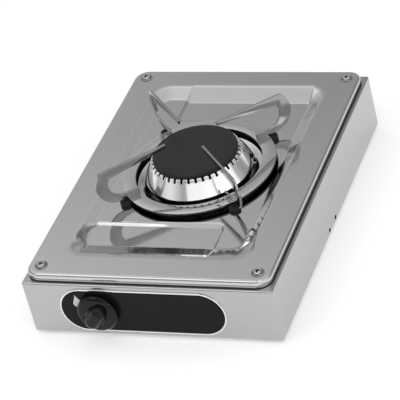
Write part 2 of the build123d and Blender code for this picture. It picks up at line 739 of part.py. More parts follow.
side_names = ("rear_right", "rear_left", "front_left", "front_right")
finger_start = ring_in + FINGER_BACK
tab_z = ring_z - TAB_H
hook_at = tab_out + TAB_GAP
lean = math.radians(HOOK_LEAN)
hook_end = (hook_at + HOOK_R * math.cos(lean), ring_top + HOOK_R * (1 + math.sin(lean)))
hook_corner = (hook_end[0] - (finger_top - hook_end[1]) * math.tan(lean), finger_top)
loop_at = hook_at - LOOP_BACK
arm_z = ring_top + FINGER_ARM_H
loop_z = arm_z + LOOP_R
loop_turn = math.radians(LOOP_TURN)
loop_end = (loop_at + LOOP_R * math.cos(loop_turn), loop_z + LOOP_R * math.sin(loop_turn))
for index, side in enumerate(side_names):
    angle = math.radians(FINGER_FIRST + index * 360 / FINGER_COUNT)
    radial = (math.cos(angle), math.sin(angle), 0)
    finger_plane = Plane((0, BURNER_Y, 0), x_dir=radial, z_dir=(radial[1], -radial[0], 0))

    # Finger: a hook in a standing plane, with a tab that goes down into its rubber foot
    with BuildPart() as finger:
        with BuildSketch(finger_plane):
            with BuildLine():
                Polyline(
                    (finger_start, ring_top),
                    (tab_in, ring_top),
                    (tab_in, tab_z),
                    (tab_out, tab_z),
                    (tab_out, ring_top),
                    (hook_at, ring_top),
                )
                CenterArc((hook_at, ring_top + HOOK_R), HOOK_R, -90, 90 + HOOK_LEAN)
                Polyline(
                    hook_end,
                    hook_corner,
                    (FINGER_TIP, finger_top),
                    (FINGER_TIP, finger_top - FINGER_TIP_D),
                    loop_end,
                )
                CenterArc((loop_at, loop_z), LOOP_R, LOOP_TURN, -90 - LOOP_TURN)
                Polyline(
                    (loop_at, arm_z),
                    (finger_start, arm_z),
                    (finger_start, ring_top),
                )
            make_face()
        extrude(amount=FINGER_T / 2, both=True)
        rounded(finger, finger_plane, hook_corner, FINGER_HEEL)
        rounded(finger, finger_plane, loop_end, FINGER_CORNER)
    write(finger, f"finger_{side}")

    # Rubber foot pushed onto the finger's tab
    with BuildPart() as pan_foot:
        foot_at = finger_plane.from_local_coords(Vector(pan_foot_at, floor_z, 0))
        with BuildSketch(Plane(foot_at, x_dir=radial, z_dir=(0, 0, 1))):
            Circle(PAN_FOOT_R)
        extrude(amount=PAN_FOOT_H)
        fillet(pan_foot.edges().group_by(Axis.Z)[0], PAN_FOOT_EDGE)
        with BuildSketch(Plane(foot_at, x_dir=radial, z_dir=(0, 0, 1)).offset(tab_z - floor_z - TAB_FIT)):
            Rectangle(TAB_W + 2 * TAB_FIT, FINGER_T + 2 * TAB_FIT)
        extrude(amount=PAN_FOOT_H, mode=Mode.SUBTRACT)
    write(pan_foot, f"pan_foot_{side}")

# Control panel and its bright trim on the front wall
with BuildPart() as control_panel:
    with BuildSketch(across(front_y)):
        with Locations((PANEL_X, panel_z)):
            SlotOverall(PANEL_W, PANEL_H)
        with Locations((knob_x, tap_z)):
            Circle(NECK_R + SCREW_CLEARANCE, mode=Mode.SUBTRACT)
    extrude(amount=PANEL_T)
    fillet(control_panel.edges().group_by(Axis.Y)[0].sort_by(SortBy.LENGTH)[-4:], PANEL_EDGE)
write(control_panel, "control_panel")

with BuildPart() as panel_trim:
    with BuildSketch(across(front_y)):
        with Locations((PANEL_X, panel_z)):
            SlotOverall(PANEL_W + 2 * TRIM_W, PANEL_H + 2 * TRIM_W)
            SlotOverall(PANEL_W + THREAD_GAP, PANEL_H + THREAD_GAP, mode=Mode.SUBTRACT)
    extrude(amount=TRIM_T)
write(panel_trim, "panel_trim")

# Knob: a hollow skirt with a hub and a bar grip, turned to the lit position
nut_front = front_y - PANEL_T - PANEL_NUT_T
neck_front = nut_front - NECK_PAST_NUT
knob_back = front_y - PANEL_T - PUSH_TRAVEL - KNOB_CLEARANCE
knob_floor = neck_front - PUSH_TRAVEL - NECK_CLEARANCE
knob_face = knob_back - KNOB_SKIRT
knob_front = knob_face - KNOB_GRIP_H
bore_end = knob_front + KNOB_END
spindle_front = bore_end + SPINDLE_END
knob_face_r = KNOB_R - KNOB_BEVEL
knob_grip_l = 2 * (knob_face_r - KNOB_GRIP_BACK)
with BuildPart() as knob:
    turned(
        [
            (0, knob_floor),
            (KNOB_R - KNOB_WALL, knob_floor),
            (KNOB_R - KNOB_WALL, knob_back),
            (KNOB_R, knob_back),
            (KNOB_R, knob_back - KNOB_RIM),
            (knob_face_r, knob_face),
            (0, knob_face),
        ],
        tap_section,
        tap_axis,
    )
    with BuildSketch(across(knob_face)):
        with Locations((knob_x, tap_z)):
            Circle(KNOB_HUB_R)
    extrude(amount=KNOB_HUB_H)
    fillet(knob.edges().group_by(Axis.Y)[0], KNOB_HUB_EDGE)
    with BuildSketch(across(knob_face)):
        with Locations((knob_x, tap_z)):
            RectangleRounded(knob_grip_l, KNOB_GRIP_W, KNOB_GRIP_CORNER, rotation=90 + KNOB_LIT)
    extrude(amount=KNOB_GRIP_H, taper=KNOB_GRIP_TAPER)
    fillet(knob.edges().group_by(Axis.Y)[0], KNOB_GRIP_EDGE)
    with BuildSketch(across(knob_floor)):
        with Locations((knob_x, tap_z)):
            Circle(SPINDLE_R + KNOB_FIT)
            with Locations((0, 2 * SPINDLE_R - SPINDLE_FLAT + KNOB_FIT)):
                Rectangle(2 * COLLAR_R, 2 * SPINDLE_R, mode=Mode.SUBTRACT)
    extrude(amount=knob_floor - bore_end, mode=Mode.SUBTRACT)
write(knob, "knob")

# Gas tap, from the front wall back: bonnet, collar, spring seat, spring, plug, outlet
wall_in = front_y + SHEET
collar_y = wall_in + NECK_END + COLLAR_GAP
seat_y = collar_y + COLLAR_T
spring_y = seat_y + SEAT_T
tap_front = spring_y + SPRING_L
plug_rear = tap_front + PLUG_L
tap_rear = plug_rear + TAP_END
outlet_y = tap_rear + TAP_OUTLET_L
inlet_y = tap_front + TAP_INLET_AT
inlet_end = knob_x + TAP_INLET_L
spindle_bore = SPINDLE_R + SPINDLE_FIT
stem_end = tap_front - PUSH_TRAVEL - STEM_CLEARANCE
seat_edge = BONNET_BORE - SEAT_CLEARANCE
bonnet_screw_at = BONNET_R + BONNET_HEAD_R + BONNET_HEAD_GAP
bonnet_flange_r = bonnet_screw_at + BONNET_HEAD_R + BONNET_HEAD_GAP
plug_slot = TONGUE_L + PUSH_TRAVEL + TONGUE_END

with BuildPart() as valve_bonnet:
    turned(
        [
            (spindle_bore, neck_front),
            (NECK_R, neck_front),
            (NECK_R, wall_in),
            (BONNET_R, wall_in),
            (BONNET_R, tap_front - BONNET_FLANGE_T),
            (bonnet_flange_r, tap_front - BONNET_FLANGE_T),
            (bonnet_flange_r, tap_front),
            (BONNET_BORE, tap_front),
            (BONNET_BORE, wall_in + NECK_END),
            (spindle_bore, wall_in + NECK_END),
        ],
        tap_section,
        tap_axis,
    )
    with BuildSketch(across(tap_front)):
        with Locations((knob_x, tap_z)):
            with GridLocations(0, 2 * bonnet_screw_at, 1, 2):
                Circle(BONNET_SCREW_R + THREAD_GAP)
    extrude(amount=BONNET_FLANGE_T, mode=Mode.SUBTRACT)
write(valve_bonnet, "valve_bonnet")

with BuildPart() as bonnet_screws:
    with BuildSketch(across(tap_front - BONNET_FLANGE_T)):
        with Locations((knob_x, tap_z)):
            with GridLocations(0, 2 * bonnet_screw_at, 1, 2):
                Circle(BONNET_HEAD_R)
    extrude(amount=BONNET_HEAD_H)
    with BuildSketch(across(tap_front - BONNET_FLANGE_T)):
        with Locations((knob_x, tap_z)):
            with GridLocations(0, 2 * bonnet_screw_at, 1, 2):
                Circle(BONNET_SCREW_R)
    extrude(amount=-(BONNET_FLANGE_T + TAP_FLANGE_T))
write(bonnet_screws, "bonnet_screws")

with BuildPart() as panel_nut:
    with BuildSketch(across(front_y - PANEL_T)):
        with Locations((knob_x, tap_z)):
            RegularPolygon(PANEL_NUT_HEX / 2, 6, major_radius=False)
            Circle(NECK_R + THREAD_GAP, mode=Mode.SUBTRACT)
    extrude(amount=PANEL_NUT_T)
write(panel_nut, "panel_nut")

with BuildPart() as valve_spindle:
    turned(
        [
            (0, spindle_front),
            (SPINDLE_R, spindle_front),
            (SPINDLE_R, collar_y),
            (COLLAR_R, collar_y),
            (COLLAR_R, seat_y),
            (STEM_R, seat_y),
            (STEM_R, stem_end),
            (0, stem_end),
        ],
        tap_section,
        tap_axis,
    )
    with BuildSketch(across(stem_end)):
        with Locations((knob_x, tap_z)):
            Rectangle(TONGUE_W, TONGUE_T)
    extrude(amount=-(tap_front + TONGUE_L - stem_end))
    with BuildSketch(across(knob_floor)):
        with Locations((knob_x, tap_z + 2 * SPINDLE_R - SPINDLE_FLAT)):
            Rectangle(2 * COLLAR_R, 2 * SPINDLE_R)
    extrude(amount=knob_floor - spindle_front, mode=Mode.SUBTRACT)
write(valve_spindle, "valve_spindle")

with BuildPart() as spring_seat:
    turned(
        [
            (STEM_R + KNOB_FIT, seat_y),
            (seat_edge, seat_y),
            (seat_edge, spring_y),
            (STEM_R + KNOB_FIT, spring_y),
        ],
        tap_section,
        tap_axis,
    )
write(spring_seat, "spring_seat")

coil_l = SPRING_L - SPRING_WIRE
with BuildPart() as valve_spring:
    with BuildLine() as coil:
        Helix(
            coil_l / SPRING_TURNS,
            coil_l,
            SPRING_R,
            center=(knob_x, spring_y + SPRING_WIRE / 2, tap_z),
            direction=(0, 1, 0),
        )
    with BuildSketch(Plane(coil.line @ 0, z_dir=coil.line % 0)):
        Circle(SPRING_WIRE / 2)
    sweep()
write(valve_spring, "valve_spring")

with BuildPart() as valve_plug:
    turned(
        [
            (0, tap_front),
            (PLUG_FRONT_R - PLUG_FIT, tap_front),
            (PLUG_REAR_R - PLUG_FIT, plug_rear),
            (0, plug_rear),
        ],
        tap_section,
        tap_axis,
    )
    with BuildSketch(across(tap_front)):
        with Locations((knob_x, tap_z)):
            Rectangle(TONGUE_W + 2 * TONGUE_FIT, TONGUE_T + 2 * TONGUE_FIT)
    extrude(amount=-plug_slot, mode=Mode.SUBTRACT)
    with BuildSketch(across(plug_rear)):
        with Locations((knob_x, tap_z)):
            Circle(PLUG_BORE)
    extrude(amount=plug_rear - inlet_y, mode=Mode.SUBTRACT)
    with BuildSketch(Plane((knob_x, inlet_y, tap_z), x_dir=(0, 1, 0), z_dir=(1, 0, 0))):
        Circle(PLUG_BORE)
    extrude(amount=PLUG_FRONT_R, mode=Mode.SUBTRACT)
write(valve_plug, "valve_plug")

with BuildPart() as valve_body:
    turned(
        [
            (0, tap_front),
            (bonnet_flange_r, tap_front),
            (bonnet_flange_r, tap_front + TAP_FLANGE_T),
            (TAP_R, tap_front + TAP_FLANGE_T),
            (TAP_R, tap_rear),
            (TAP_OUTLET_R, tap_rear),
            (TAP_OUTLET_R, outlet_y),
            (0, outlet_y),
        ],
        tap_section,
        tap_axis,
    )
    with BuildSketch(Plane((knob_x, inlet_y, tap_z), x_dir=(0, 1, 0), z_dir=(1, 0, 0))):
        Circle(TAP_INLET_R)
    extrude(amount=TAP_INLET_L)
    turned(
        [
            (0, tap_front),
            (PLUG_FRONT_R, tap_front),
            (PLUG_REAR_R, plug_rear),
            (0, plug_rear),
        ],
        tap_section,
        tap_axis,
        Mode.SUBTRACT,
    )
    with BuildSketch(Plane((knob_x, inlet_y, tap_z), x_dir=(0, 1, 0), z_dir=(1, 0, 0))):
        Circle(TAP_BORE)
    extrude(amount=TAP_INLET_L, mode=Mode.SUBTRACT)
    with BuildSketch(across(outlet_y)):
        with Locations((knob_x, tap_z)):
            Circle(TAP_BORE)
    extrude(amount=outlet_y - plug_rear, mode=Mode.SUBTRACT)
    with BuildSketch(across(tap_front)):
        with Locations((knob_x, tap_z)):
            with GridLocations(0, 2 * bonnet_screw_at, 1, 2):
                Circle(BONNET_SCREW_R + THREAD_GAP)
    extrude(amount=-TAP_FLANGE_T, mode=Mode.SUBTRACT)
write(valve_body, "valve_body")


def pipe(points, bend, outer, bore):
    # A bent tube along straight runs joined by arcs
    with BuildLine() as route:
        FilletPolyline(*points, radius=bend)
    with BuildSketch(Plane(route.line @ 0, z_dir=route.line % 0)) as section:
        Circle(outer)
        Circle(bore, mode=Mode.SUBTRACT)
    sweep(section.sketch, route.line)


# Inlet pipe: from the stub at the back to the side of the tap, with a bead that stops on its grommet
bead_y = rear_y + GROMMET_T
with BuildPart() as inlet_pipe:
    pipe(
        [
            (inlet_x, rear_y + INLET_STUB, tap_z),
            (inlet_x, inlet_y, tap_z),
            (inlet_end, inlet_y, tap_z),
        ],
        INLET_BEND,
        INLET_PIPE_R,
        INLET_PIPE_BORE,
    )
    turned(
        [
            ((INLET_PIPE_R + INLET_PIPE_BORE) / 2, bead_y),
            (INLET_BEAD_R, bead_y),
            (INLET_BEAD_R, bead_y + INLET_BEAD_L / 2),
            (INLET_PIPE_R, bead_y + INLET_BEAD_L),
            ((INLET_PIPE_R + INLET_PIPE_BORE) / 2, bead_y + INLET_BEAD_L),
        ],
        inlet_section,
        inlet_axis,
    )
write(inlet_pipe, "inlet_pipe")

with BuildPart() as inlet_nut:
    with BuildSketch(Plane((inlet_end, inlet_y, tap_z), x_dir=(0, 1, 0), z_dir=(1, 0, 0))):
        RegularPolygon(INLET_NUT_HEX / 2, 6, major_radius=False)
        Circle(INLET_PIPE_R + PIPE_FIT, mode=Mode.SUBTRACT)
    extrude(amount=INLET_NUT_L)
write(inlet_nut, "inlet_nut")

with BuildPart() as inlet_grommet:
    turned(
        [
            (INLET_PIPE_R + PIPE_FIT, rear_y + GROMMET_T),
            (GROMMET_R + GROMMET_LIP, rear_y + GROMMET_T),
            (GROMMET_R + GROMMET_LIP, rear_y),
            (GROMMET_R - PIPE_FIT, rear_y),
            (GROMMET_R - PIPE_FIT, rear_y - SHEET),
            (GROMMET_R + GROMMET_LIP, rear_y - SHEET),
            (GROMMET_R + GROMMET_LIP, rear_y - SHEET - GROMMET_T),
            (INLET_PIPE_R + PIPE_FIT, rear_y - SHEET - GROMMET_T),
        ],
        inlet_section,
        inlet_axis,
    )
write(inlet_grommet, "inlet_grommet")

# Supply pipe: from the back of the tap to the elbow under the burner
with BuildPart() as supply_pipe:
    pipe(
        [
            (knob_x, outlet_y, tap_z),
            (knob_x, outlet_y + SUPPLY_RUN, tap_z),
            (0, elbow_y - SUPPLY_RUN, elbow_z),
            (0, elbow_y, elbow_z),
        ],
        SUPPLY_BEND,
        SUPPLY_R,
        SUPPLY_BORE,
    )
write(supply_pipe, "supply_pipe")

with BuildPart() as supply_nuts:
    for x, y, z in ((knob_x, outlet_y + SUPPLY_NUT_L, tap_z), (0, elbow_y, elbow_z)):
        with BuildSketch(across(y)):
            with Locations((x, z)):
                RegularPolygon(SUPPLY_NUT_HEX / 2, 6, major_radius=False)
                Circle(SUPPLY_R + PIPE_FIT, mode=Mode.SUBTRACT)
        extrude(amount=SUPPLY_NUT_L)
write(supply_nuts, "supply_nuts")
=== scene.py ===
import math

import bpy
import numpy as np
from mathutils import Matrix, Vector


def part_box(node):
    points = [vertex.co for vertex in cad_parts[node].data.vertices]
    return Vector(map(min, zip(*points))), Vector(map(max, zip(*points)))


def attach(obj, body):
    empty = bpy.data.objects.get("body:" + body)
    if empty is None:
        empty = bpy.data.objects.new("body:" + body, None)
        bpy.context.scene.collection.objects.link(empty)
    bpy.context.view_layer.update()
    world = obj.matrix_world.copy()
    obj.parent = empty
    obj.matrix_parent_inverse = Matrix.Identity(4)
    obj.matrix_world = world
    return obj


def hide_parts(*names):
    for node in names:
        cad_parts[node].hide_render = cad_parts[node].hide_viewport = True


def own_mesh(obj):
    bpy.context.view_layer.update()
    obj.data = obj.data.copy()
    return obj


# A one-burner gas stove in stainless steel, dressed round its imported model.
# Shapes are worked out in millimetres in the part's frame: X right, Y back, Z up from the table.

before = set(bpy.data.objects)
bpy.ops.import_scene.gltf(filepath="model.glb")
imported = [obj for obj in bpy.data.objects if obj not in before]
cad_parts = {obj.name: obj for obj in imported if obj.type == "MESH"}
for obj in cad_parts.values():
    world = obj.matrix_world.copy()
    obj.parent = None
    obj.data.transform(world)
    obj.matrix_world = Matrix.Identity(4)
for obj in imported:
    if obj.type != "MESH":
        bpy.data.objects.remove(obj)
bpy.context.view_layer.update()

# Places that several pieces share, and a millimetre in metres
stove = {"burnerY": 2.0, "rimZ": 61.5, "crownTop": 77.0, "ringTop": 63.4, "frontY": -150.0, "mm": 0.001}
perMetre = 1 / stove["mm"]


# Materials

pattern = {
    "grainDetail": 5.0, "grainSpan": (0.25, 0.75), "speckDetail": 3.0, "speckSpan": (0.3, 0.7),
    "relief": 0.0002,
}


def linear(code):
    # sRGB hex to linear light: below 0.04045 divide by 12.92, above it ((c + 0.055) / 1.055) ^ 2.4
    levels = np.array([int(code[i:i + 2], 16) for i in (1, 3, 5)]) / 255
    light = np.where(levels <= 0.04045, levels / 12.92, ((levels + 0.055) / 1.055) ** 2.4)
    return (*light.tolist(), 1.0)


def addNode(tree, kind, sockets=None, **settings):
    # Adds a node, sets its options, and gives each named socket a value or a link
    node = tree.nodes.new(kind)
    for option, value in settings.items():
        setattr(node, option, value)
    for key, value in (sockets or {}).items():
        if isinstance(value, bpy.types.NodeSocket):
            tree.links.new(value, node.inputs[key])
        else:
            node.inputs[key].default_value = value
    return node


def newMaterial(name, **surface):
    # A material with one Principled shader, and the Object coordinates that its patterns read
    material = bpy.data.materials.new(name)
    material.use_nodes = True
    tree = material.node_tree
    tree.nodes.clear()
    shader = addNode(tree, "ShaderNodeBsdfPrincipled", surface)
    addNode(tree, "ShaderNodeOutputMaterial", {"Surface": shader.outputs["BSDF"]})
    place = addNode(tree, "ShaderNodeTexCoord").outputs["Object"]
    return material, tree, shader, place


def patterned(tree, shader, noise, span, colours, rough, bump):
    # The noise mixes the two colours, takes the roughness from one end to the other as it crosses the span,
    # and lifts the surface by a small relief
    tone = addNode(
        tree, "ShaderNodeMix", {0: noise, 6: linear(colours[0]), 7: linear(colours[1])}, data_type="RGBA")
    spread = addNode(tree, "ShaderNodeMapRange", {
        "Value": noise, "From Min": span[0], "From Max": span[1], "To Min": rough[0], "To Max": rough[1]})
    lifted = addNode(
        tree, "ShaderNodeBump", {"Height": noise, "Strength": bump, "Distance": pattern["relief"]})
    tree.links.new(tone.outputs[2], shader.inputs["Base Color"])
    tree.links.new(spread.outputs[0], shader.inputs["Roughness"])
    tree.links.new(lifted.outputs[0], shader.inputs["Normal"])


def grainyMetal(name, colours, rough, sizes, bump):
    # Metal whose grain is noise stretched to a size in mm on each axis
    material, tree, shader, place = newMaterial(name, Metallic=1.0)
    scale = tuple(perMetre / size for size in sizes)
    stretched = addNode(tree, "ShaderNodeMapping", {"Vector": place, "Scale": scale})
    grain = addNode(
        tree, "ShaderNodeTexNoise",
        {"Vector": stretched.outputs[0], "Scale": 1.0, "Detail": pattern["grainDetail"]})
    patterned(tree, shader, grain.outputs[0], pattern["grainSpan"], colours, rough, bump)
    return material


def speckled(name, colours, rough, size, bump, **surface):
    # A coat or moulding with even specks of one size in mm
    material, tree, shader, place = newMaterial(name, **surface)
    specks = addNode(
        tree, "ShaderNodeTexNoise",
        {"Vector": place, "Scale": perMetre / size, "Detail": pattern["speckDetail"]})
    patterned(tree, shader, specks.outputs[0], pattern["speckSpan"], colours, rough, bump)
    return material


def darkened(material, colour):
    # Mixes a dark colour over the metal's own by a point attribute of the piece: painted shade
    tree = material.node_tree
    shader = next(node for node in tree.nodes if node.type == "BSDF_PRINCIPLED")
    bare = shader.inputs["Base Color"].links[0].from_socket
    share = addNode(tree, "ShaderNodeAttribute", attribute_name="paintedShade").outputs["Fac"]
    covered = addNode(tree, "ShaderNodeMix", {0: share, 6: bare, 7: linear(colour)}, data_type="RGBA")
    tree.links.new(covered.outputs[2], shader.inputs["Base Color"])
    return material


# Cold-rolled sheet, brushed along each wall: a soft sheen with level streaks about 0.5 mm apart
satinStainless = grainyMetal(
    "satinStainless", ("#B2B2B2", "#BCBCBC"), (0.15, 0.22), (60.0, 60.0, 0.5), 0.03)

# Bright-annealed pressed sheet: a near mirror, with a faint rolling grain along its length
brightSheet = (("#C8C8C8", "#CDCDCD"), (0.07, 0.1), (2.0, 120.0, 120.0), 0.003)
mirrorStainless = grainyMetal("mirrorStainless", *brightSheet)

# The same sheet in the stamped ring, with black painted on its edges and underside: painted shade and painted
# reflection of the dark gap beneath it
paintedShadeStainless = darkened(grainyMetal("paintedShadeStainless", *brightSheet), "#161616")

# Stamped and tumbled strip of the fingers and washers: bright, slightly softened
tumbledStainless = grainyMetal(
    "tumbledStainless", ("#989898", "#A4A4A4"), (0.1, 0.16), (8.0, 8.0, 8.0), 0.01)

# Chrome plate on the corner screws: a hard bright mirror, with painted shade darkening the cross recess
brightChrome = darkened(grainyMetal(
    "brightChrome", ("#C6C6C6", "#D0D0D0"), (0.04, 0.08), (3.0, 3.0, 3.0), 0.005), "#141414")

# Chrome strip round the control panel: nearly white where it mirrors a pale floor
whiteChrome = grainyMetal(
    "whiteChrome", ("#EAEAEA", "#F2F2F2"), (0.05, 0.09), (20.0, 20.0, 20.0), 0.003)

# Turned and polished aluminium alloy: white highlights with fine lathe lines
turnedAlloy = grainyMetal(
    "turnedAlloy", ("#E4E4E4", "#EEEEEE"), (0.1, 0.16), (40.0, 40.0, 0.35), 0.02)

# Sand-cast aluminium alloy, matt and grainy, painted near black: painted shade for the cup seen in the gap
# round the crown's base
castAlloy = grainyMetal(
    "castAlloy", ("#262625", "#363634"), (0.45, 0.6), (1.2, 1.2, 1.2), 0.3)

# Zinc-plated steel: bluish grey with a cloudy bloom
zincSteel = grainyMetal(
    "zincSteel", ("#9FA3A6", "#BCC0C1"), (0.32, 0.48), (6.0, 6.0, 6.0), 0.05)

# Machined brass: yellow, with fine tool marks
machinedBrass = grainyMetal(
    "machinedBrass", ("#B98F45", "#CDA75B"), (0.22, 0.34), (3.0, 0.4, 3.0), 0.05)

# Drawn copper tube: red-brown, with a light oxide haze
drawnCopper = grainyMetal(
    "drawnCopper", ("#A8623F", "#C07C56"), (0.28, 0.42), (4.0, 12.0, 4.0), 0.05)

# Vitreous enamel on a pressed steel cap: near black, faintly warm, with a fine orange peel
blackEnamel = speckled(
    "blackEnamel", ("#1E1D1C", "#272625"), (0.4, 0.52), 0.9, 0.06, **{"Specular IOR Level": 0.3})

# Gloss stoved lacquer on the control panel: smooth, with a very shallow peel
stovedLacquer = speckled(
    "stovedLacquer", ("#161616", "#1B1B1B"), (0.2, 0.28), 2.5, 0.02, **{"Specular IOR Level": 0.12})

# Moulded black ABS knob: fine spark-eroded texture, drawn at 0.5 mm so that it shows
mouldedAbs = speckled(
    "mouldedAbs", ("#0B0B0B", "#121212"), (0.14, 0.22), 0.5, 0.04,
    **{"Specular IOR Level": 0.1, "Coat Weight": 0.3, "Coat Roughness": 0.05})

# Moulded nitrile rubber: dull black with a dusty bloom
mouldedRubber = speckled(
    "mouldedRubber", ("#151515", "#242424"), (0.7, 0.85), 0.7, 0.15, IOR=1.52)

# Screen-printed white ink: matt, slightly uneven over the lacquer
printedInk = speckled(
    "printedInk", ("#D8D8D8", "#F0F0F0"), (0.5, 0.6), 0.4, 0.03, IOR=1.5)

print("materials:", len(bpy.data.materials))


# Shapes

def gridShell(points, loopRows=False, caps=False):
    # Faces of a grid of points whose columns close on themselves. Rows close too, or end in caps.
    # The sum of the faces' signed volumes says whether they point inwards, and then they are turned round
    rows, columns = points.shape[:2]
    here = np.arange(rows if loopRows else rows - 1)[:, None]
    column = np.arange(columns)[None, :]
    below = (here + 1) % rows
    beside = (column + 1) % columns
    corners = [here * columns + column, below * columns + column]
    corners += [below * columns + beside, here * columns + beside]
    faces = [np.stack(corners, -1).reshape(-1, 4)]
    if caps:
        first = np.arange(columns)
        faces += [first[None, :], (first + (rows - 1) * columns)[None, ::-1]]
    points = points.reshape(-1, 3)
    middle = points - points.mean(0)
    volume = 0.0
    for group in faces:
        start = middle[group[:, 0]][:, None]
        volume += np.sum(start * np.cross(middle[group[:, 1:-1]], middle[group[:, 2:]]))
    if volume < 0:
        faces = [group[:, ::-1] for group in faces]
    return points, faces


def makePiece(name, shells, material, body, nodes=(), sharp=40.0, normals=None, paintedShade=None):
    # Puts the shells into one mesh, with soft shading between sharp edges or with given normals.
    # Painted shade is one number for each point, which the finish reads as an attribute
    points = np.concatenate([shell[0] for shell in shells])
    bases = np.cumsum([0] + [len(shell[0]) for shell in shells])
    groups = [group + base for shell, base in zip(shells, bases) for group in shell[1]]
    sizes = np.concatenate([np.full(len(group), group.shape[1]) for group in groups])
    loops = np.concatenate([group.ravel() for group in groups])
    mesh = bpy.data.meshes.new(name)
    mesh.vertices.add(len(points))
    mesh.vertices.foreach_set("co", (points * stove["mm"]).astype(np.float32).ravel())
    mesh.loops.add(len(loops))
    mesh.loops.foreach_set("vertex_index", loops.astype(np.int32))
    mesh.polygons.add(len(sizes))
    mesh.polygons.foreach_set("loop_start", (np.cumsum(sizes) - sizes).astype(np.int32))
    mesh.polygons.foreach_set("use_smooth", np.ones(len(sizes), bool))
    mesh.update(calc_edges=True)
    mesh.validate()
    if normals is None:
        mesh.set_sharp_from_angle(angle=math.radians(sharp))
    else:
        mesh.normals_split_custom_set_from_vertices(normals.reshape(-1, 3))
    # The painted shade is stored on each point, for the finish to darken by
    if paintedShade is not None:
        mesh.attributes.new("paintedShade", "FLOAT", "POINT").data.foreach_set("value", paintedShade.astype(np.float32))
    mesh.materials.append(material)
    piece = bpy.data.objects.new(name, mesh)
    bpy.context.scene.collection.objects.link(piece)
    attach(piece, body)
    if nodes:
        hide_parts(*nodes)
    print("piece:", name, len(mesh.polygons), "faces")
    return piece


def circleAngles(count):
    # Equal steps once round a circle
    return np.linspace(0, 2 * math.pi, count, endpoint=False)


def quarterAngles(count):
    # Equal steps over a quarter of a circle, both ends counted
    return np.linspace(0, math.pi / 2, count)


def boxCorners(startX, endX, startY, endY):
    # A rectangle's corners in order: along the start side, across, and back along the end side
    return [(startX, startY), (startX, endY), (endX, endY), (endX, startY)]


def roundedPath(corners, radii, steps):
    # Each corner of a closed outline becomes an arc that starts and ends r * tan(turn / 2) away from it
    corners = np.array(corners, float)
    radii = np.array(radii, float)
    heading = corners - np.roll(corners, 1, 0)
    heading /= np.linalg.norm(heading, axis=1)[:, None]
    leaving = np.roll(heading, -1, 0)
    cross = heading[:, 0] * leaving[:, 1] - heading[:, 1] * leaving[:, 0]
    turn = np.arctan2(cross, np.sum(heading * leaving, 1))
    start = corners - heading * (radii * np.abs(np.tan(turn / 2)))[:, None]
    inward = np.stack([-heading[:, 1], heading[:, 0]], 1) * (np.sign(turn) * radii)[:, None]
    angle = turn[:, None] * np.linspace(0, 1, steps)
    cosine, sine = np.cos(angle), np.sin(angle)
    arm = -inward
    x = (start + inward)[:, :1] + arm[:, :1] * cosine - arm[:, 1:] * sine
    y = (start + inward)[:, 1:] + arm[:, :1] * sine + arm[:, 1:] * cosine
    return np.stack([x, y], -1).reshape(-1, 2)


def offsetOutline(outline, insets):
    # Moves a closed outline inwards along mitred normals, (n1 + n2) / (1 + n1.n2), once for each inset
    heading = outline - np.roll(outline, 1, 0)
    heading /= np.linalg.norm(heading, axis=1)[:, None]
    before = np.stack([-heading[:, 1], heading[:, 0]], 1)
    after = np.roll(before, -1, 0)
    mitre = (before + after) / (1 + np.sum(before * after, 1))[:, None]
    return outline[None] + mitre[None] * np.array(insets)[:, None, None]


def turnedShell(profile, columns, caps=False, centre=(0.0, stove["burnerY"])):
    # A profile of radius and height carried round a standing axis: x = r cos a, y = r sin a, z = h
    angle = circleAngles(columns)
    radius, height = profile[:, :1], profile[:, 1:]
    x = centre[0] + radius * np.cos(angle)
    y = centre[1] + radius * np.sin(angle)
    return gridShell(np.stack([x, y, np.broadcast_to(height, x.shape)], -1), not caps, caps)


def easedStep(t, ease):
    # A straight ramp from 0 to 1 whose two bends are parabolas of half width ease
    risen = np.maximum(t, 0) + ease / 4 * np.maximum(1 - np.abs(t) / ease, 0) ** 2
    return np.minimum(risen, 1) - ease / 4 * np.maximum(1 - np.abs(risen - 1) / ease, 0) ** 2


def steepening(share, lean):
    # A climb from 0 to 1 that grows steeper: lean s + (1 - lean) s ^ 2
    return lean * share + (1 - lean) * share ** 2


def boxDistance(x, y, halfX, halfY, corner):
    # Distance to the edge of a rounded rectangle, below zero inside it
    overX = np.abs(x) - halfX + corner
    overY = np.abs(y) - halfY + corner
    outside = np.hypot(np.maximum(overX, 0), np.maximum(overY, 0))
    return outside + np.minimum(np.maximum(overX, overY), 0) - corner


# Top plate: a pressed sheet with a rolled edge, a well, two pockets and a dish round the burner

plate = {
    "half": (107.0, 147.0), "corner": 12.0, "edge": 2.8, "edgeRows": 9, "sheet": 1.0,
    "skirtZ": 54.0, "skirtLean": 0.56, "skirtTilt": -0.12,
    "outerSkirt": ((57.5, 0.14), (56.0, 0.32)), "innerSkirt": ((57.0, 0.2),),
    "well": (79.5, 119.5, 16.0), "wellFloor": (70.0, 104.5, 10.0), "wellDepth": 3.5, "wellEase": 0.14,
    "pocketX": (-44.8, 68.0), "pocketY": (75.3, 102.3), "pocketOpen": (100.0, 137.65), "pocketCorner": 5.0,
    "pocketDepth": 2.0, "pocketEase": 0.7,
    "wallSteep": (0.56, 0.66, 1.0), "wallTurn": (-6.0, 16.0, 32.0), "wallBlend": 1.0,
    "scoop": 10.4, "scoopEnd": 1.2, "scoopLean": 0.55, "slopeLean": 0.88,
    "dish": 53.0, "dishDepth": 1.6, "dishEase": 0.25,
    "opening": 48.0, "lipZ": 53.4, "lipRows": (1.2, 0.5), "lipBend": (0.12, 0.14), "lipFacing": 0.7,
    "lipRound": 0.45, "lipUnder": 1.6,
    "wallTop": (60.0, 72.8, 14.0), "wallFoot": (62.0, 75.6, 14.0), "slopeFoot": (68.8, 102.3, 9.0),
    "margin": 1.5, "columns": 600, "topRows": (9, 14, 9, 38, 26, 8), "underRows": (3, 6, 3, 12, 7, 3),
    "tracing": 4001, "farthest": 300.0, "halvings": 36, "probe": 0.02,
}


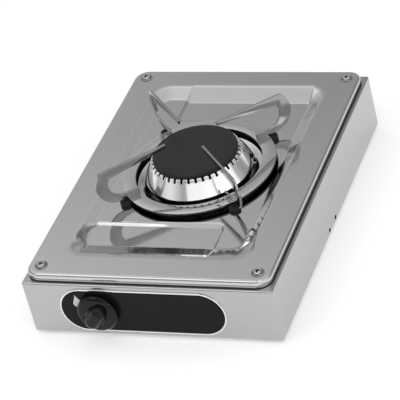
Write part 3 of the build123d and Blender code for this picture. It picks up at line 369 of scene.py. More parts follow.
def plateHeight(x, y):
    # Rim level, less the well (a ramp between its floor and mouth outlines), the pockets and the dish.
    # A pocket has a flat floor and steep walls on two sides. On the third a long slope, slightly hollow,
    # climbs to the well's mouth, and on the fourth a scoop climbs to a half-round edge.
    # The lower of well and pocket counts. Where they are closer than pocketEase, it is lowered by
    # (pocketEase - gap) ^ 2 / (4 pocketEase), which rounds the edge between them
    v = y - stove["burnerY"]
    pastFloor = boxDistance(x, v, *plate["wellFloor"])
    toMouth = -boxDistance(x, v, *plate["well"])
    risen = easedStep(pastFloor / (pastFloor + toMouth), plate["wellEase"])
    height = stove["rimZ"] - plate["wellDepth"] * (1 - risen)
    floorX, mouthX = plate["wellFloor"][0], plate["well"][0]
    farX, scoopX = plate["pocketX"]
    nearY, slopeY = plate["pocketY"]
    halfX, halfY = (plate["pocketOpen"][0] - farX) / 2, (plate["pocketOpen"][1] - nearY) / 2
    farWall = (farX - plate["wallBlend"], farX)
    scoopHalf = (slopeY - nearY) / 2
    depth, ease = plate["wellDepth"] + plate["pocketDepth"], plate["pocketEase"]
    for side in (-1, 1):
        alongX, alongY = side * x, side * v
        away = boxDistance(alongX - farX - halfX, alongY - nearY - halfY, halfX, halfY, plate["pocketCorner"])
        steep = np.interp(alongX, plate["wallTurn"], plate["wallSteep"])
        steep = np.where(alongX < farX, np.interp(alongX, farWall, plate["wallSteep"][::-2]), steep)
        pocket = stove["rimZ"] - depth + steep * np.maximum(away, 0)
        upSlope = np.maximum(alongY - slopeY, 0) / (plate["well"][1] - slopeY)
        pocket += depth * steepening(upSlope, plate["slopeLean"])
        across = (alongY - nearY - scoopHalf) / scoopHalf
        span = plate["scoop"] * np.sqrt(np.maximum(1 - across ** 2, 0)) + plate["scoopEnd"]
        upWell = np.clip((scoopX + span - floorX) / (mouthX - floorX), 0, 1)
        upScoop = np.maximum(alongX - scoopX, 0) / span
        scooped = plate["pocketDepth"] + plate["wellDepth"] * upWell
        pocket += scooped * steepening(upScoop, plate["scoopLean"])
        near = np.maximum(ease - np.abs(height - pocket), 0)
        height = np.minimum(height, pocket) - near ** 2 / (4 * ease)
    dished = (plate["dish"] - np.hypot(x, v)) / (plate["dish"] - plate["opening"])
    return height - plate["dishDepth"] * easedStep(dished, plate["dishEase"])


def rayReach(angle, halfX, halfY, corner, shift=0.0):
    # How far a ray from the burner's axis runs to a rounded rectangle's edge, found by halving
    low = np.zeros_like(angle)
    high = np.full_like(angle, plate["farthest"])
    for _ in range(plate["halvings"]):
        middle = (low + high) / 2
        x, y = middle * np.cos(angle), middle * np.sin(angle) + shift
        outside = boxDistance(x, y, halfX, halfY, corner) > 0
        high = np.where(outside, middle, high)
        low = np.where(outside, low, middle)
    return low


def plateGrid():
    # Rows run from the lip round the opening out over the plate, down its skirt and back underneath.
    # Columns are rays from the burner's axis, evenly spaced along the mouth of the well
    fine = np.linspace(-math.pi, math.pi, plate["tracing"])
    reach = rayReach(fine, *plate["well"])
    steps = np.hypot(np.diff(reach * np.cos(fine)), np.diff(reach * np.sin(fine)))
    travelled = np.concatenate([[0], np.cumsum(steps)])
    angle = np.interp(np.linspace(0, travelled[-1], plate["columns"], endpoint=False), travelled, fine)
    cosine, sine = np.cos(angle), np.sin(angle)
    halfX, halfY = plate["half"]
    burnerY, rimZ, sheet, probe = stove["burnerY"], stove["rimZ"], plate["sheet"], plate["probe"]

    def outline(inset):
        # Reach of each ray to the plate's edge, moved inwards
        return rayReach(angle, halfX - inset, halfY - inset, plate["corner"] - inset, burnerY)

    def band(start, end, count):
        # Even rows from one contour on towards the next
        return start + (end - start) * np.linspace(0, 1, count, endpoint=False)[:, None]

    def pressed(counts, innerR):
        # Rows over the pressed sheet at plateHeight, with normals from its slopes over a short probe
        edges = [np.full_like(angle, innerR), np.full_like(angle, plate["dish"] + plate["margin"])]
        edges += [rayReach(angle, *plate[edge]) for edge in ("wallTop", "wallFoot", "slopeFoot")]
        edges += [rayReach(angle, *plate["well"]) + plate["margin"], outline(plate["edge"])]
        bands = [band(edges[i], edges[i + 1], count) for i, count in enumerate(counts)]
        radius = np.concatenate(bands + [edges[-1][None]])
        x, y = radius * cosine, burnerY + radius * sine
        slopeX = (plateHeight(x + probe, y) - plateHeight(x - probe, y)) / (2 * probe)
        slopeY = (plateHeight(x, y + probe) - plateHeight(x, y - probe)) / (2 * probe)
        up = np.stack([-slopeX, -slopeY, np.ones_like(x)], -1)
        return np.stack([x, y, plateHeight(x, y)], -1), up / np.linalg.norm(up, axis=-1)[..., None]

    def contour(radius, height, outward, rise):
        # One row: points at one height, and normals that lean from outward to up
        x, y = radius * cosine, burnerY + radius * sine
        points = np.stack([x, y, np.broadcast_to(height, x.shape)], -1)
        return points[None], np.concatenate([outward, np.full((len(angle), 1), rise)], 1)[None]

    def skirt(inset, turns, heights):
        # The rolled edge, a quarter round of radius edge less inset, and the leaning skirt below it
        rows = []
        radius = plate["edge"] - inset
        for turn in turns:
            back = inset + radius * (1 - math.sin(turn))
            reached = outline(back)
            x, y = reached * cosine, burnerY + reached * sine
            shape = (halfX - back, halfY - back, plate["corner"] - back)
            outX = boxDistance(x + probe, y, *shape) - boxDistance(x - probe, y, *shape)
            outY = boxDistance(x, y + probe, *shape) - boxDistance(x, y - probe, *shape)
            outward = np.stack([outX, outY], 1) / np.hypot(outX, outY)[:, None]
            level = rimZ - inset - radius * (1 - math.cos(turn))
            rows.append(contour(reached, level, outward * math.sin(turn), math.cos(turn)))
        for level, lean in heights + ((plate["skirtZ"], plate["skirtLean"]),):
            rows.append(contour(outline(inset + lean), level, outward, plate["skirtTilt"]))
        return rows

    inward = np.stack([-cosine, -sine], 1)
    opening, lipZ, facing = plate["opening"], plate["lipZ"], plate["lipFacing"]
    dishZ = rimZ - plate["wellDepth"] - plate["dishDepth"]
    bendOut, bendDown = plate["lipBend"]
    aboveFoot, belowBend = plate["lipRows"]
    lip = [contour(opening, level, inward, 0.0) for level in (lipZ, lipZ + aboveFoot, dishZ - belowBend)]
    lip += [contour(opening + bendOut, dishZ - bendDown, inward * facing, facing)]
    top = pressed(plate["topRows"], opening + plate["lipRound"])
    quarter = quarterAngles(plate["edgeRows"])[1:]
    outer = skirt(0.0, quarter, plate["outerSkirt"])
    inner = skirt(sheet, quarter[1::2], plate["innerSkirt"])[::-1]
    inner = [(points, -normals) for points, normals in inner]
    under = pressed(plate["underRows"], opening + sheet)
    under = (under[0][::-1] - np.array([0.0, 0.0, sheet]), -under[1][::-1])
    foot = [contour(opening + sheet, level, -inward, 0.0) for level in (dishZ - plate["lipUnder"], lipZ)]
    rows = lip + [top] + outer + inner + [under] + foot
    return np.concatenate([row[0] for row in rows]), np.concatenate([row[1] for row in rows])


platePoints, plateNormals = plateGrid()
makePiece(
    "topPlate", [gridShell(platePoints, loopRows=True)], mirrorStainless, "stove_body",
    ["top_plate"], normals=plateNormals)


# Edge bead: a thin black bead between the plate's skirt and the ledge that it stands on, making a dark line
# along the foot of the skirt

edgeBead = {"proud": 0.1, "h": 0.5, "in": 1.1, "edge": 0.1, "round": 0.2, "arc": 5, "cornerArc": 13}


def edgeBeadShell():
    # A small rounded section carried round the plate's outline: distance out from the skirt, and height
    low, edge = plate["skirtZ"], edgeBead["edge"]
    corners = boxCorners(-edgeBead["in"], edgeBead["proud"], low, low + edgeBead["h"])
    section = roundedPath(corners, [edge, edge, edgeBead["round"], edge], edgeBead["arc"])
    halfX, halfY = plate["half"]
    skirtCorners = boxCorners(halfX, -halfX, -halfY, halfY)
    skirtLine = roundedPath(skirtCorners, [plate["corner"]] * 4, edgeBead["cornerArc"])
    rows = offsetOutline(skirtLine, -section[:, 0])
    height = np.broadcast_to(section[:, 1:], rows.shape[:2])
    return gridShell(np.concatenate([rows, height[..., None]], -1), loopRows=True)


makePiece("plateEdgeBead", [edgeBeadShell()], mouldedRubber, "stove_body")


# Cup washers and raised cross-head screws in the four corners of the plate

fixing = {
    "at": (95.0, 135.0), "sharp": 50.0,
    "washerR": 5.8, "washerH": 1.4, "lipR": 4.75, "cupDepth": 0.75, "cupGap": 0.1,
    "seatR": 2.2, "seatH": 0.35,
    "washerRound": (0.05, 0.25, 0.3, 0.1, 0.05), "washerArc": 7, "washerColumns": 72,
    "headR": 3.7, "headH": 1.3, "headEdge": 0.1, "headDepth": 0.9, "shankR": 2.0, "shankZ": 48.0,
    "cross": (2.3, 0.6), "crossDepth": 1.5, "crossRise": 0.3, "crossSlope": (0.5, 0.3), "crossEase": 0.4,
    # The recess depth, scaled by this number, sets the painted shade in it
    "paintedShade": 1.6, "pole": 0.05, "rows": 34, "columns": 96,
}
washerTop = stove["rimZ"] + fixing["washerH"]
screwX, screwY = fixing["at"]
screwPlaces = boxCorners(screwX, -screwX, -screwY, screwY)


def atCorners(shell):
    # The same shell at the four screw places
    return [(shell[0] + np.array([x, y, 0.0]), shell[1]) for x, y in screwPlaces]


def washerShell():
    # A pressed cup: a rolled outer foot, a rounded lip and a countersunk seat
    rim = stove["rimZ"]
    corners = [(fixing["seatR"], rim), (fixing["washerR"], rim), (fixing["lipR"], washerTop)]
    corners += [(fixing["headR"] + fixing["cupGap"], washerTop - fixing["cupDepth"])]
    corners += [(fixing["seatR"], rim + fixing["seatH"])]
    section = roundedPath(corners, fixing["washerRound"], fixing["washerArc"])
    return turnedShell(section, fixing["washerColumns"], centre=(0.0, 0.0))


def screwShell():
    # A low dome, part of a sphere of radius (r ^ 2 + h ^ 2) / (2 h), less a cross-shaped recess.
    # A bar of the cross has sloping sides and ends, and it gets shallower outwards
    headR, headH, edge = fixing["headR"], fixing["headH"], fixing["headEdge"]
    domeR = (headR ** 2 + headH ** 2) / (2 * headH)
    angle = circleAngles(fixing["columns"])[None, :]
    radius = np.linspace(fixing["pole"], headR - edge, fixing["rows"])[:, None]
    x, y = radius * np.cos(angle), radius * np.sin(angle)
    long, wide = fixing["cross"]
    endSlope, sideSlope = fixing["crossSlope"]

    def bar(along, across):
        # Full depth inside the half length and half width, by a ramp centred on each
        ends = easedStep((long - np.abs(along)) / endSlope + 0.5, fixing["crossEase"])
        return ends * easedStep((wide - np.abs(across)) / sideSlope + 0.5, fixing["crossEase"])

    sunk = fixing["crossDepth"] * np.maximum(bar(x, y), bar(y, x)) * (1 - fixing["crossRise"] * radius / long)
    z = washerTop + headH - domeR + np.sqrt(domeR ** 2 - radius ** 2) - sunk
    head = np.stack([x, y, z], -1)
    below = [(headR, washerTop - edge / 2), (headR - edge, washerTop - 1.5 * edge)]
    below += [(fixing["shankR"], washerTop - fixing["headDepth"]), (fixing["shankR"], fixing["shankZ"])]
    below = np.array(below)
    tail = below[:, :1, None] * np.stack([np.cos(angle), np.sin(angle)], -1)
    tail = np.concatenate([tail, np.broadcast_to(below[:, 1:, None], tail.shape[:2] + (1,))], -1)
    # Painted shade in the cross recess, darker where it is sunk deeper, and none on the tail
    paintedShade = np.concatenate([np.clip(sunk * fixing["paintedShade"], 0, 1), np.zeros(tail.shape[:2])]).ravel()
    return gridShell(np.concatenate([head, tail]), caps=True), paintedShade


makePiece(
    "cupWashers", atCorners(washerShell()), tumbledStainless, "stove_body",
    ["cup_washers"], sharp=fixing["sharp"])
# The screws' chrome is darkened by painted shade in their recesses
screw, screwPaintedShade = screwShell()
makePiece(
    "topScrews", atCorners(screw), brightChrome, "stove_body", ["top_screws"],
    sharp=fixing["sharp"], paintedShade=np.tile(screwPaintedShade, len(screwPlaces)))


# Burner crown: a turned cone with parallel flame ports cut across its top edge.
# The edges are steps from the top edge and from the chamber's, the inside is radius and height

crown = {
    "base": (47.0, 61.5), "topR": 38.6, "portZ": 74.0, "portStep": 1.5, "chamberR": 32.5, "coneRows": 14,
    "topEdge": ((0.13, -0.5), (-0.02, -0.17), (-0.3, 0.0), (-2.0, 0.0)),
    "chamberEdge": ((1.5, 0.0), (0.3, 0.0), (0.0, -0.3), (-0.02, -4.0), (-0.04, -6.0), (-0.1, -7.5)),
    "inside": (
        (9.5, 69.5), (9.5, 53.0), (11.5, 53.0), (11.5, 67.0), (41.5, 67.0), (41.5, 64.0), (44.2, 64.0),
        (44.2, 61.5),
    ),
    "ports": 40, "portHalf": 0.85, "portBevel": 0.2, "bevelDepth": 0.08, "landColumns": 3, "sharp": 32.0,
}


def crownShell():
    # Columns are in groups, one for each port: across a port the offset from its middle is fixed, so that
    # its sides are parallel, angle = port + asin(offset / r), and between ports the angle is shared out.
    # Above the ports' floor, a row is at its own height on a land and at the floor's height in a port
    top, portZ, step = stove["crownTop"], crown["portZ"], crown["portStep"]
    baseR, baseZ = crown["base"]
    lean = (baseR - crown["topR"]) / (top - baseZ)
    portR = baseR - lean * (portZ - baseZ)
    share = np.linspace(0, 1, crown["coneRows"])
    cone = np.stack([baseR - (baseR - portR) * share, baseZ + (portZ - baseZ) * share], 1)
    edges = [(portR - lean * step, portZ + step)]
    edges += [(crown["topR"] + out, top + up) for out, up in crown["topEdge"]]
    edges += [(crown["chamberR"] + out, top + up) for out, up in crown["chamberEdge"]]
    profile = np.concatenate([cone, np.array(edges), np.array(crown["inside"])])
    radius, landZ = profile[:, 0], profile[:, 1]
    floorZ = np.minimum(landZ, portZ)

    side = crown["portHalf"] + crown["portBevel"] * np.arange(3)
    offsets = np.concatenate([-side[::-1], [0.0], side])
    cut = np.array([1.0, crown["bevelDepth"], 0.0])
    depth = np.concatenate([cut[::-1], [1.0], cut, np.zeros(crown["landColumns"])])
    pitch = 2 * math.pi / crown["ports"]
    gripR = np.maximum(radius, crown["chamberR"])[:, None]
    across = np.arcsin(offsets[None, :] / gripR)
    landShare = np.linspace(0, 1, crown["landColumns"] + 2)[1:-1]
    lands = across[:, -1:] + (pitch - 2 * across[:, -1:]) * landShare
    group = np.concatenate([across, lands], 1)
    ports = np.arange(crown["ports"]) * pitch
    angle = (group[:, None, :] + ports[None, :, None]).reshape(len(radius), -1)
    depth = np.tile(depth, crown["ports"])[None, :]
    height = landZ[:, None] + (floorZ - landZ)[:, None] * depth
    x = radius[:, None] * np.cos(angle)
    y = stove["burnerY"] + radius[:, None] * np.sin(angle)
    return gridShell(np.stack([x, y, height], -1), loopRows=True)


makePiece(
    "burnerCrown", [crownShell()], turnedAlloy, "stove_body", ["burner_crown"],
    sharp=crown["sharp"])


# Burner cap: an enamelled disc with a low dome and a rounded edge

cap = {
    "r": 37.0, "h": 3.8, "edge": 1.5, "dome": 0.5, "chamfer": 0.3, "pole": 0.2,
    "spigotR": 31.8, "spigotWall": 2.4, "spigotH": 2.5, "domeRows": 24, "edgeRows": 9, "columns": 160,
}


def capShell():
    # The dome falls with the square of the radius, then a quarter round takes it down to the side
    seat, chamfer = stove["crownTop"], cap["chamfer"]
    top = seat + cap["h"]
    flat = cap["r"] - cap["edge"]
    out = np.linspace(cap["pole"], flat, cap["domeRows"])
    dome = np.stack([out, top - cap["dome"] * (out / flat) ** 2], 1)
    turn = quarterAngles(cap["edgeRows"])[1:]
    drop = top - cap["dome"]
    roll = np.stack([flat + cap["edge"] * np.sin(turn), drop - cap["edge"] * (1 - np.cos(turn))], 1)
    spigotIn = cap["spigotR"] - cap["spigotWall"]
    foot = seat - cap["spigotH"]
    under = [(cap["r"], seat + chamfer), (cap["r"] - chamfer, seat), (cap["spigotR"], seat)]
    under += [(cap["spigotR"], foot), (spigotIn, foot), (spigotIn, seat), (cap["pole"], seat)]
    return turnedShell(np.concatenate([dome, roll, np.array(under)]), cap["columns"], caps=True)


makePiece("burnerCap", [capShell()], blackEnamel, "loose_cap", ["burner_cap"])


# Pan support: a flat ring with rounded edges, and four stamped hooks that stand on it.
# The ring's painted shade is full underneath, nearly full on the edges, and none on the top face

ring = {"inR": 55.0, "outR": 67.0, "z": 61.4, "edge": 0.35, "edgeShade": 0.85, "arc": 7, "columns": 256}
ringCorners = boxCorners(ring["inR"], ring["outR"], ring["z"], stove["ringTop"])
ringSection = roundedPath(ringCorners, [ring["edge"]] * 4, ring["arc"])
ringLevels = (ring["z"], ring["z"] + ring["edge"], stove["ringTop"] - ring["edge"], stove["ringTop"])
# Painted shade by height on the ring's section, blacking the gap under it
ringShade = np.interp(ringSection[:, 1], ringLevels, (1.0, ring["edgeShade"], ring["edgeShade"], 0.0))
makePiece(
    "panRing", [turnedShell(ringSection, ring["columns"])], paintedShadeStainless,
    "pan_support", ["pan_ring"], paintedShade=np.repeat(ringShade, ring["columns"]))

finger = {
    "first": 43.0, "thick": 2.0, "bevel": 0.35, "start": 56.0, "top": 97.9, "armZ": 69.2, "tip": (24.0, 94.3),
    "tab": (67.4, 72.6, 58.8), "hookAt": 73.0, "hookR": 19.1, "hookLean": 24.0,
    "loop": (67.5, 82.4), "loopR": 13.2, "loopSlack": 0.8, "loopTurn": 29.5, "heel": 6.0, "corner": 2.4,
    "footCorner": 0.4, "tabRoot": 0.1, "tipCorner": 0.7, "arc": 18, "bevelRows": 5,
}


def fingerOutline():
    # Corners of the hook in its own plane, radius and height: foot, tab, bend, tip and loop
    base, start = stove["ringTop"], finger["start"]
    lean = math.radians(finger["hookLean"])
    bendReach = finger["hookR"] * math.tan(math.radians(90 + finger["hookLean"]) / 2)
    bend = (finger["hookAt"] + bendReach, base)
    heelX = bend[0] - (finger["top"] - base) * math.tan(lean)
    loopX, loopZ = finger["loop"]
    turn = math.radians(finger["loopTurn"])
    loopEnd = (loopX + finger["loopR"] * math.cos(turn), loopZ + finger["loopR"] * math.sin(turn))
    loopReach = finger["loopR"] * math.tan(math.radians(90 + finger["loopTurn"]) / 2)
    tabIn, tabOut, tabZ = finger["tab"]
    tipR, tipZ = finger["tip"]
    corners = [(start, base), (tabIn, base), (tabIn, tabZ), (tabOut, tabZ), (tabOut, base), bend]
    corners += [(heelX, finger["top"]), (tipR, finger["top"]), (tipR, tipZ)]
    corners += [loopEnd, (loopX + loopReach, finger["armZ"]), (start, finger["armZ"])]
    foot, root, tip = finger["footCorner"], finger["tabRoot"], finger["tipCorner"]
    radii = [foot, root, foot, foot, root, finger["hookR"], finger["heel"], tip, tip]
    radii += [finger["corner"], finger["loopR"] - finger["loopSlack"], tip]
    return roundedPath(corners, radii, finger["arc"])


def fingerShell(index):
    # The outline carried through the strip's thickness, with its edges rounded by a quarter circle each side
    turn = quarterAngles(finger["bevelRows"])
    half, bevel = finger["thick"] / 2, finger["bevel"]
    insets = bevel * (1 - np.sin(turn))
    levels = half - bevel * (1 - np.cos(turn))
    insets = np.concatenate([insets, insets[::-1]])
    levels = np.concatenate([levels, -levels[::-1]])[:, None]
    flat = offsetOutline(fingerOutline(), insets)
    angle = math.radians(finger["first"] + 90 * index)
    x = flat[..., 0] * math.cos(angle) + levels * math.sin(angle)
    y = stove["burnerY"] + flat[..., 0] * math.sin(angle) - levels * math.cos(angle)
    return gridShell(np.stack([x, y, flat[..., 1]], -1), caps=True)


for index, side in enumerate(("rear_right", "rear_left", "front_left", "front_right")):
    makePiece(
        "finger" + side.title().replace("_", ""), [fingerShell(index)], tumbledStainless,
        "pan_support", ["finger_" + side])


# Bright trim round the control panel: a rounded bead carried along a slot shape

trim = {
    "centre": (-7.0, 28.5), "run": 51.5, "inR": 20.1, "outR": 21.4, "t": 1.0,
    "round": (0.05, 0.25, 0.3, 0.05), "arc": 7, "endColumns": 49,
}


def trimShell():
    # The bead's section lies across the outline: distance out from the slot's middle line,
    # and height off the wall
    ends = [np.linspace(-90, 90, trim["endColumns"]), np.linspace(90, 270, trim["endColumns"])]
    angle = np.radians(np.concatenate(ends))
    shift = np.repeat([trim["run"], -trim["run"]], trim["endColumns"])
    corners = boxCorners(trim["inR"], trim["outR"], 0.0, trim["t"])
    section = roundedPath(corners, trim["round"], trim["arc"])
    reach, height = section[:, :1], section[:, 1:]
    x = trim["centre"][0] + shift + reach * np.cos(angle)
    z = trim["centre"][1] + reach * np.sin(angle)
    y = stove["frontY"] - np.broadcast_to(height, x.shape)
    return gridShell(np.stack([x, y, z], -1), loopRows=True)


makePiece("panelTrim", [trimShell()], whiteChrome, "stove_body", ["panel_trim"])


# Knob: a hollow turned skirt with a low hub, and a rounded bar grip set across it

knob = {
    "r": 17.5, "rim": 1.1, "rimEdge": 0.15, "backEdge": 0.2, "skirt": 3.4,
    "faceR": 15.6, "faceEdge": (0.5, 0.15),
    "hubR": 8.5, "hubH": 3.0, "hubEdge": 1.0, "boreR": 14.0, "bore": 2.4, "pole": 0.2, "columns": 120,
    "grip": (24.0, 14.0), "corner": 6.6, "gripH": 8.0, "root": 0.5, "round": 5.6, "taper": 0.4, "turn": 50.0,
    "cornerArc": 14, "roundRows": 13,
}


def knobShells():
    # The skirt is a profile of radius and forward distance carried round the tap's axis.
    # The grip is an outline moved inwards as it goes forward: a taper, then a quarter round
    low, high = np.array(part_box("knob")) / stove["mm"]
    centreX, centreZ = (low[0] + high[0]) / 2, (low[2] + high[2]) / 2
    face, backY = knob["skirt"], low[1] + knob["skirt"] + knob["gripH"]

    def placed(x, z, forward):
        # A closed shell from places across the tap's axis and distances forward of the knob's back
        forward = np.broadcast_to(forward, x.shape)
        return gridShell(np.stack([centreX + x, backY - forward, centreZ + z], -1), caps=True)

    hubR, hubTop, hubEdge = knob["hubR"], face + knob["hubH"], knob["hubEdge"]
    faceIn, faceDown = knob["faceEdge"]
    r, back = knob["r"], knob["backEdge"]
    profile = [(knob["pole"], hubTop), (hubR - hubEdge, hubTop), (hubR, hubTop - hubEdge), (hubR, face)]
    profile += [(knob["faceR"] - faceIn, face), (knob["faceR"], face - faceDown)]
    profile += [(r - knob["rimEdge"], knob["rim"] + back), (r, knob["rim"]), (r, back), (r - back, 0.0)]
    profile += [(knob["boreR"], 0.0), (knob["boreR"], knob["bore"]), (knob["pole"], knob["bore"])]
    profile = np.array(profile)
    angle = circleAngles(knob["columns"])
    skirt = placed(profile[:, :1] * np.cos(angle), profile[:, :1] * np.sin(angle), profile[:, 1:])

    halfL, halfW = knob["grip"][0] / 2, knob["grip"][1] / 2
    outline = roundedPath(boxCorners(halfL, -halfL, -halfW, halfW), [knob["corner"]] * 4, knob["cornerArc"])
    turn = quarterAngles(knob["roundRows"])
    insets = np.concatenate([[0.0], knob["taper"] + knob["round"] * (1 - np.cos(turn))])
    shoulder = face + knob["gripH"] - knob["round"]
    levels = np.concatenate([[face - knob["root"]], shoulder + knob["round"] * np.sin(turn)])
    along = offsetOutline(outline, insets)
    tilt = math.radians(knob["turn"])
    x = along[..., 0] * math.cos(tilt) - along[..., 1] * math.sin(tilt)
    z = along[..., 0] * math.sin(tilt) + along[..., 1] * math.cos(tilt)
    return [skirt, placed(x, z, levels[:, None])]


makePiece("knobCap", knobShells(), mouldedAbs, "control_knob", ["knob"])


# Return spring behind the knob: an open coil, drawn at one fixed length, though the real one shortens as the
# knob is pushed in

spring = {"wire": 0.9, "turns": 5, "travel": 3.0, "rows": 161, "columns": 12}


def springShell():
    # A helix about the tap's axis, x = R cos a, z = R sin a, y rising evenly, carries a round wire.
    # The wire's circle lies between the direction out from the axis and the one square to that and the helix
    low, high = np.array(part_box("valve_spring")) / stove["mm"]
    centreX, centreZ = (low[0] + high[0]) / 2, (low[2] + high[2]) / 2
    wireR = spring["wire"] / 2
    coilR = (high[0] - low[0]) / 2 - wireR
    rise = high[1] - low[1] - spring["wire"]
    turned = 2 * math.pi * spring["turns"]
    share = np.linspace(0, 1, spring["rows"])[:, None]
    cosine, sine = np.cos(turned * share), np.sin(turned * share)
    flat = np.zeros_like(share)
    out = np.stack([cosine, flat, sine], -1)
    along = np.stack([-coilR * turned * sine, flat + rise, coilR * turned * cosine], -1)
    along /= np.linalg.norm(along, axis=-1)[..., None]
    middle = np.stack([centreX + coilR * cosine, low[1] + wireR + rise * share, centreZ + coilR * sine], -1)
    angle = circleAngles(spring["columns"])[None, :, None]
    return gridShell(middle + wireR * (np.cos(angle) * out + np.sin(angle) * np.cross(along, out)), caps=True)


returnSpring = makePiece(
    "returnSpring", [springShell()], zincSteel, "stove_body", ["valve_spring"])
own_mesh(returnSpring)


# Printed flame sign beside the knob

flame = {
    "centre": (-62.4, 38.4), "size": (8.2, 12.8), "girth": 0.77, "bend": 3.6, "bendFrom": -0.1,
    "inner": 0.28, "innerAt": (1.0, -3.6), "panelY": -151.5, "ink": 0.06, "columns": 96,
}


def flameShell():
    # A drop, x = sin(a) sin(a / 2) ^ 2 and z = cos(a), less a smaller drop low inside it.
    # Its two ends bend to opposite sides by the square of the distance from bendFrom
    angle = circleAngles(flame["columns"])
    drop = np.stack([np.sin(angle) * np.sin(angle / 2) ** 2 * flame["girth"], np.cos(angle) / 2], 1)
    outer = drop * np.array(flame["size"])
    above = drop[:, 1] - flame["bendFrom"]
    outer[:, 0] -= flame["bend"] * above * np.abs(above)
    inner = drop * np.array(flame["size"]) * flame["inner"] + np.array(flame["innerAt"])
    rings = np.stack([outer, inner, inner, outer])
    y = flame["panelY"] - np.array([flame["ink"], flame["ink"], 0.0, 0.0])[:, None]
    x = flame["centre"][0] + rings[..., 0]
    z = flame["centre"][1] + rings[..., 1]
    return gridShell(np.stack([x, np.broadcast_to(y, x.shape), z], -1), loopRows=True)


makePiece("flameSign", [flameShell()], printedInk, "stove_body")


# The CAD nodes that stay get their finishes

rubberFeet = [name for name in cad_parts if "foot_" in name and "screws" not in name]
finishes = {
    satinStainless: ["housing", "base_plate"],
    zincSteel: [
        "base_screws", "foot_screws", "clip_nuts", "burner_bracket", "bracket_screws", "cup_screws",
        "panel_nut", "bonnet_screws", "spring_seat",
    ],
    # The cup's near-black tone is painted shade
    castAlloy: ["burner_cup"],
    machinedBrass: [
        "injector", "injector_elbow", "valve_bonnet", "valve_spindle", "valve_plug", "valve_body",
        "inlet_nut", "supply_nuts",
    ],
    drawnCopper: ["inlet_pipe", "supply_pipe"],
    mouldedRubber: ["inlet_grommet"] + rubberFeet,
    stovedLacquer: ["control_panel"],
}
for material, names in finishes.items():
    for name in names:
        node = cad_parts[name].data
        node.materials.clear()
        node.materials.append(material)
dressed = {name for names in finishes.values() for name in names}
plain = [name for name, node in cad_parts.items() if name not in dressed and not node.hide_render]
print("finished nodes:", len(dressed), "plain:", plain)


# Floor, lights and camera. The sky's level goes by height, from the horizon at 0 to overhead at 1

studio = {
    "floorHalf": 5.0, "floor": "#F2F2F2", "floorRough": 0.9, "floorGlow": 0.36, "darkest": 0.04,
    "sky": [
        (0.0, 0.35), (0.04, 0.35), (0.1, 0.3), (0.18, 0.52), (0.45, 0.52), (0.54, 0.33), (0.6, 0.42),
        (0.7, 0.7), (0.82, 0.74), (0.92, 0.76), (1.0, 0.8),
    ],
    "patches": {
        "bloom": {"towards": (-0.5125, 0.569, 0.643), "from": 0.819, "power": 6.0, "level": 0.5},
        "fill": {"towards": (0.706, -0.418, 0.57), "from": 0.75, "power": 1.5, "level": 0.45},
        "west": {"towards": (-0.8, -0.57, 0.18), "from": 0.84, "power": 0.8, "level": 0.4},
        "shade": {"towards": (-0.42, -0.62, 0.66), "from": 0.88, "power": 0.7, "level": -0.4},
        "dusk": {"towards": (0.33, 0.74, 0.585), "from": 0.9, "power": 0.8, "level": -0.12},
    },
    "lamps": {
        "key": {"at": (-1.0, -1.36, 2.1), "size": (1.5, 1.5), "watts": 8.0},
        "low": {"at": (0.6, -1.9, 0.62), "size": (2.2, 0.6), "watts": 2.8},
        "side": {"at": (2.0, -0.55, 0.6), "size": (2.0, 0.6), "watts": 2.4},
        "top": {"at": (0.5, -1.25, 2.67), "size": (0.9, 0.9), "watts": 4.4},
    },
    "aim": (0.0, 0.0, 0.04),
}
scene = bpy.context.scene

# Pale paint, lifted to white only for what the camera and mirrors see
floorMaterial, tree, paint, _ = newMaterial("paleFloor", **{
    "Base Color": linear(studio["floor"]), "Roughness": studio["floorRough"],
    "Emission Color": (1.0, 1.0, 1.0, 1.0)})
rays = addNode(tree, "ShaderNodeLightPath").outputs
seen = rays["Is Camera Ray"]
for ray in ("Is Glossy Ray", "Is Transmission Ray"):
    seen = addNode(tree, "ShaderNodeMath", {0: seen, 1: rays[ray]}, operation="MAXIMUM").outputs[0]
glow = addNode(tree, "ShaderNodeMath", {0: seen, 1: studio["floorGlow"]}, operation="MULTIPLY")
tree.links.new(glow.outputs[0], paint.inputs["Emission Strength"])
half = studio["floorHalf"]
floorMesh = bpy.data.meshes.new("floor")
floorMesh.from_pydata([(x, y, 0) for x, y in boxCorners(half, -half, -half, half)], [], [(0, 1, 2, 3)])
floorMesh.materials.append(floorMaterial)
floor = bpy.data.objects.new("floor", floorMesh)
scene.collection.objects.link(floor)

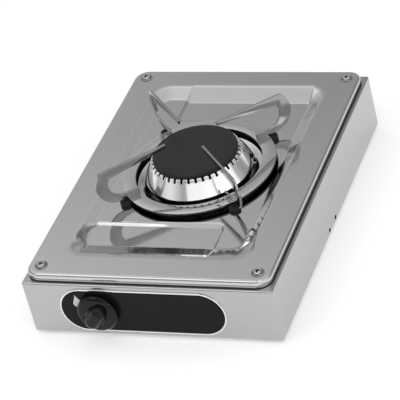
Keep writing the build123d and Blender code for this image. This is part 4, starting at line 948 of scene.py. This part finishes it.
world = bpy.data.worlds.new("studio")
scene.world = world
world.use_nodes = True
tree = world.node_tree
tree.nodes.clear()
direction = addNode(tree, "ShaderNodeTexCoord").outputs["Generated"]
height = addNode(tree, "ShaderNodeSeparateXYZ", {0: direction}).outputs["Z"]
ramp = addNode(tree, "ShaderNodeValToRGB", {0: height})
for index, (place, level) in enumerate(studio["sky"]):
    elements = ramp.color_ramp.elements
    element = elements[index] if index < 2 else elements.new(place)  # a new ramp has two already
    element.position = place
    element.color = (level, level, level, 1.0)
level = ramp.outputs[0]
for patch in studio["patches"].values():
    # A round patch of the sky: level * t ^ power is added, t rising to 1 at its middle
    facing = addNode(
        tree, "ShaderNodeVectorMath", {0: direction, 1: patch["towards"]}, operation="DOT_PRODUCT")
    nearness = addNode(
        tree, "ShaderNodeMapRange", {"Value": facing.outputs["Value"], "From Min": patch["from"]})
    lobe = addNode(tree, "ShaderNodeMath", {0: nearness.outputs[0], 1: patch["power"]}, operation="POWER")
    added = {0: lobe.outputs[0], 1: patch["level"], 2: level}
    level = addNode(tree, "ShaderNodeMath", added, operation="MULTIPLY_ADD").outputs[0]
level = addNode(tree, "ShaderNodeMath", {0: level, 1: studio["darkest"]}, operation="MAXIMUM")
sky = addNode(tree, "ShaderNodeBackground", {"Color": level.outputs[0], "Strength": 1.0})
addNode(tree, "ShaderNodeOutputWorld", {"Surface": sky.outputs[0]})


def aimed(place, target):
    # A turn whose -Z axis points from place to target, with Z kept up
    back = np.array(place) - np.array(target)
    back /= np.linalg.norm(back)
    right = np.cross((0.0, 0.0, 1.0), back)
    right /= np.linalg.norm(right)
    turn = Matrix((right, np.cross(back, right), back)).transposed().to_4x4()
    return Matrix.Translation(place) @ turn


for name, spec in studio["lamps"].items():
    lamp = bpy.data.lights.new(name, "AREA")
    lamp.energy = spec["watts"]
    lamp.shape = "RECTANGLE"
    lamp.size, lamp.size_y = spec["size"]
    lampObject = bpy.data.objects.new(name, lamp)
    lampObject.matrix_world = aimed(spec["at"], studio["aim"])
    scene.collection.objects.link(lampObject)

shot = {
    "place": (0.7761975, -1.5556727, 1.2375442), "lens": 222.55, "sensor": 36.0, "clipEnd": 50.0,
    "right": (0.929183, 0.305037, -0.208737), "down": (0.020827, -0.607045, -0.794395),
    "forward": (-0.36903244, 0.73379075, -0.5704088),
}
cameraData = bpy.data.cameras.new("camera")
cameraData.lens = shot["lens"]
cameraData.sensor_width = shot["sensor"]
cameraData.clip_end = shot["clipEnd"]
camera = bpy.data.objects.new("camera", cameraData)
axes = np.array([shot["right"], np.negative(shot["down"]), np.negative(shot["forward"])])
camera.matrix_world = Matrix.Translation(shot["place"]) @ Matrix(axes.tolist()).transposed().to_4x4()
scene.collection.objects.link(camera)
scene.camera = camera
scene.view_settings.view_transform = "Standard"
print("studio ready")
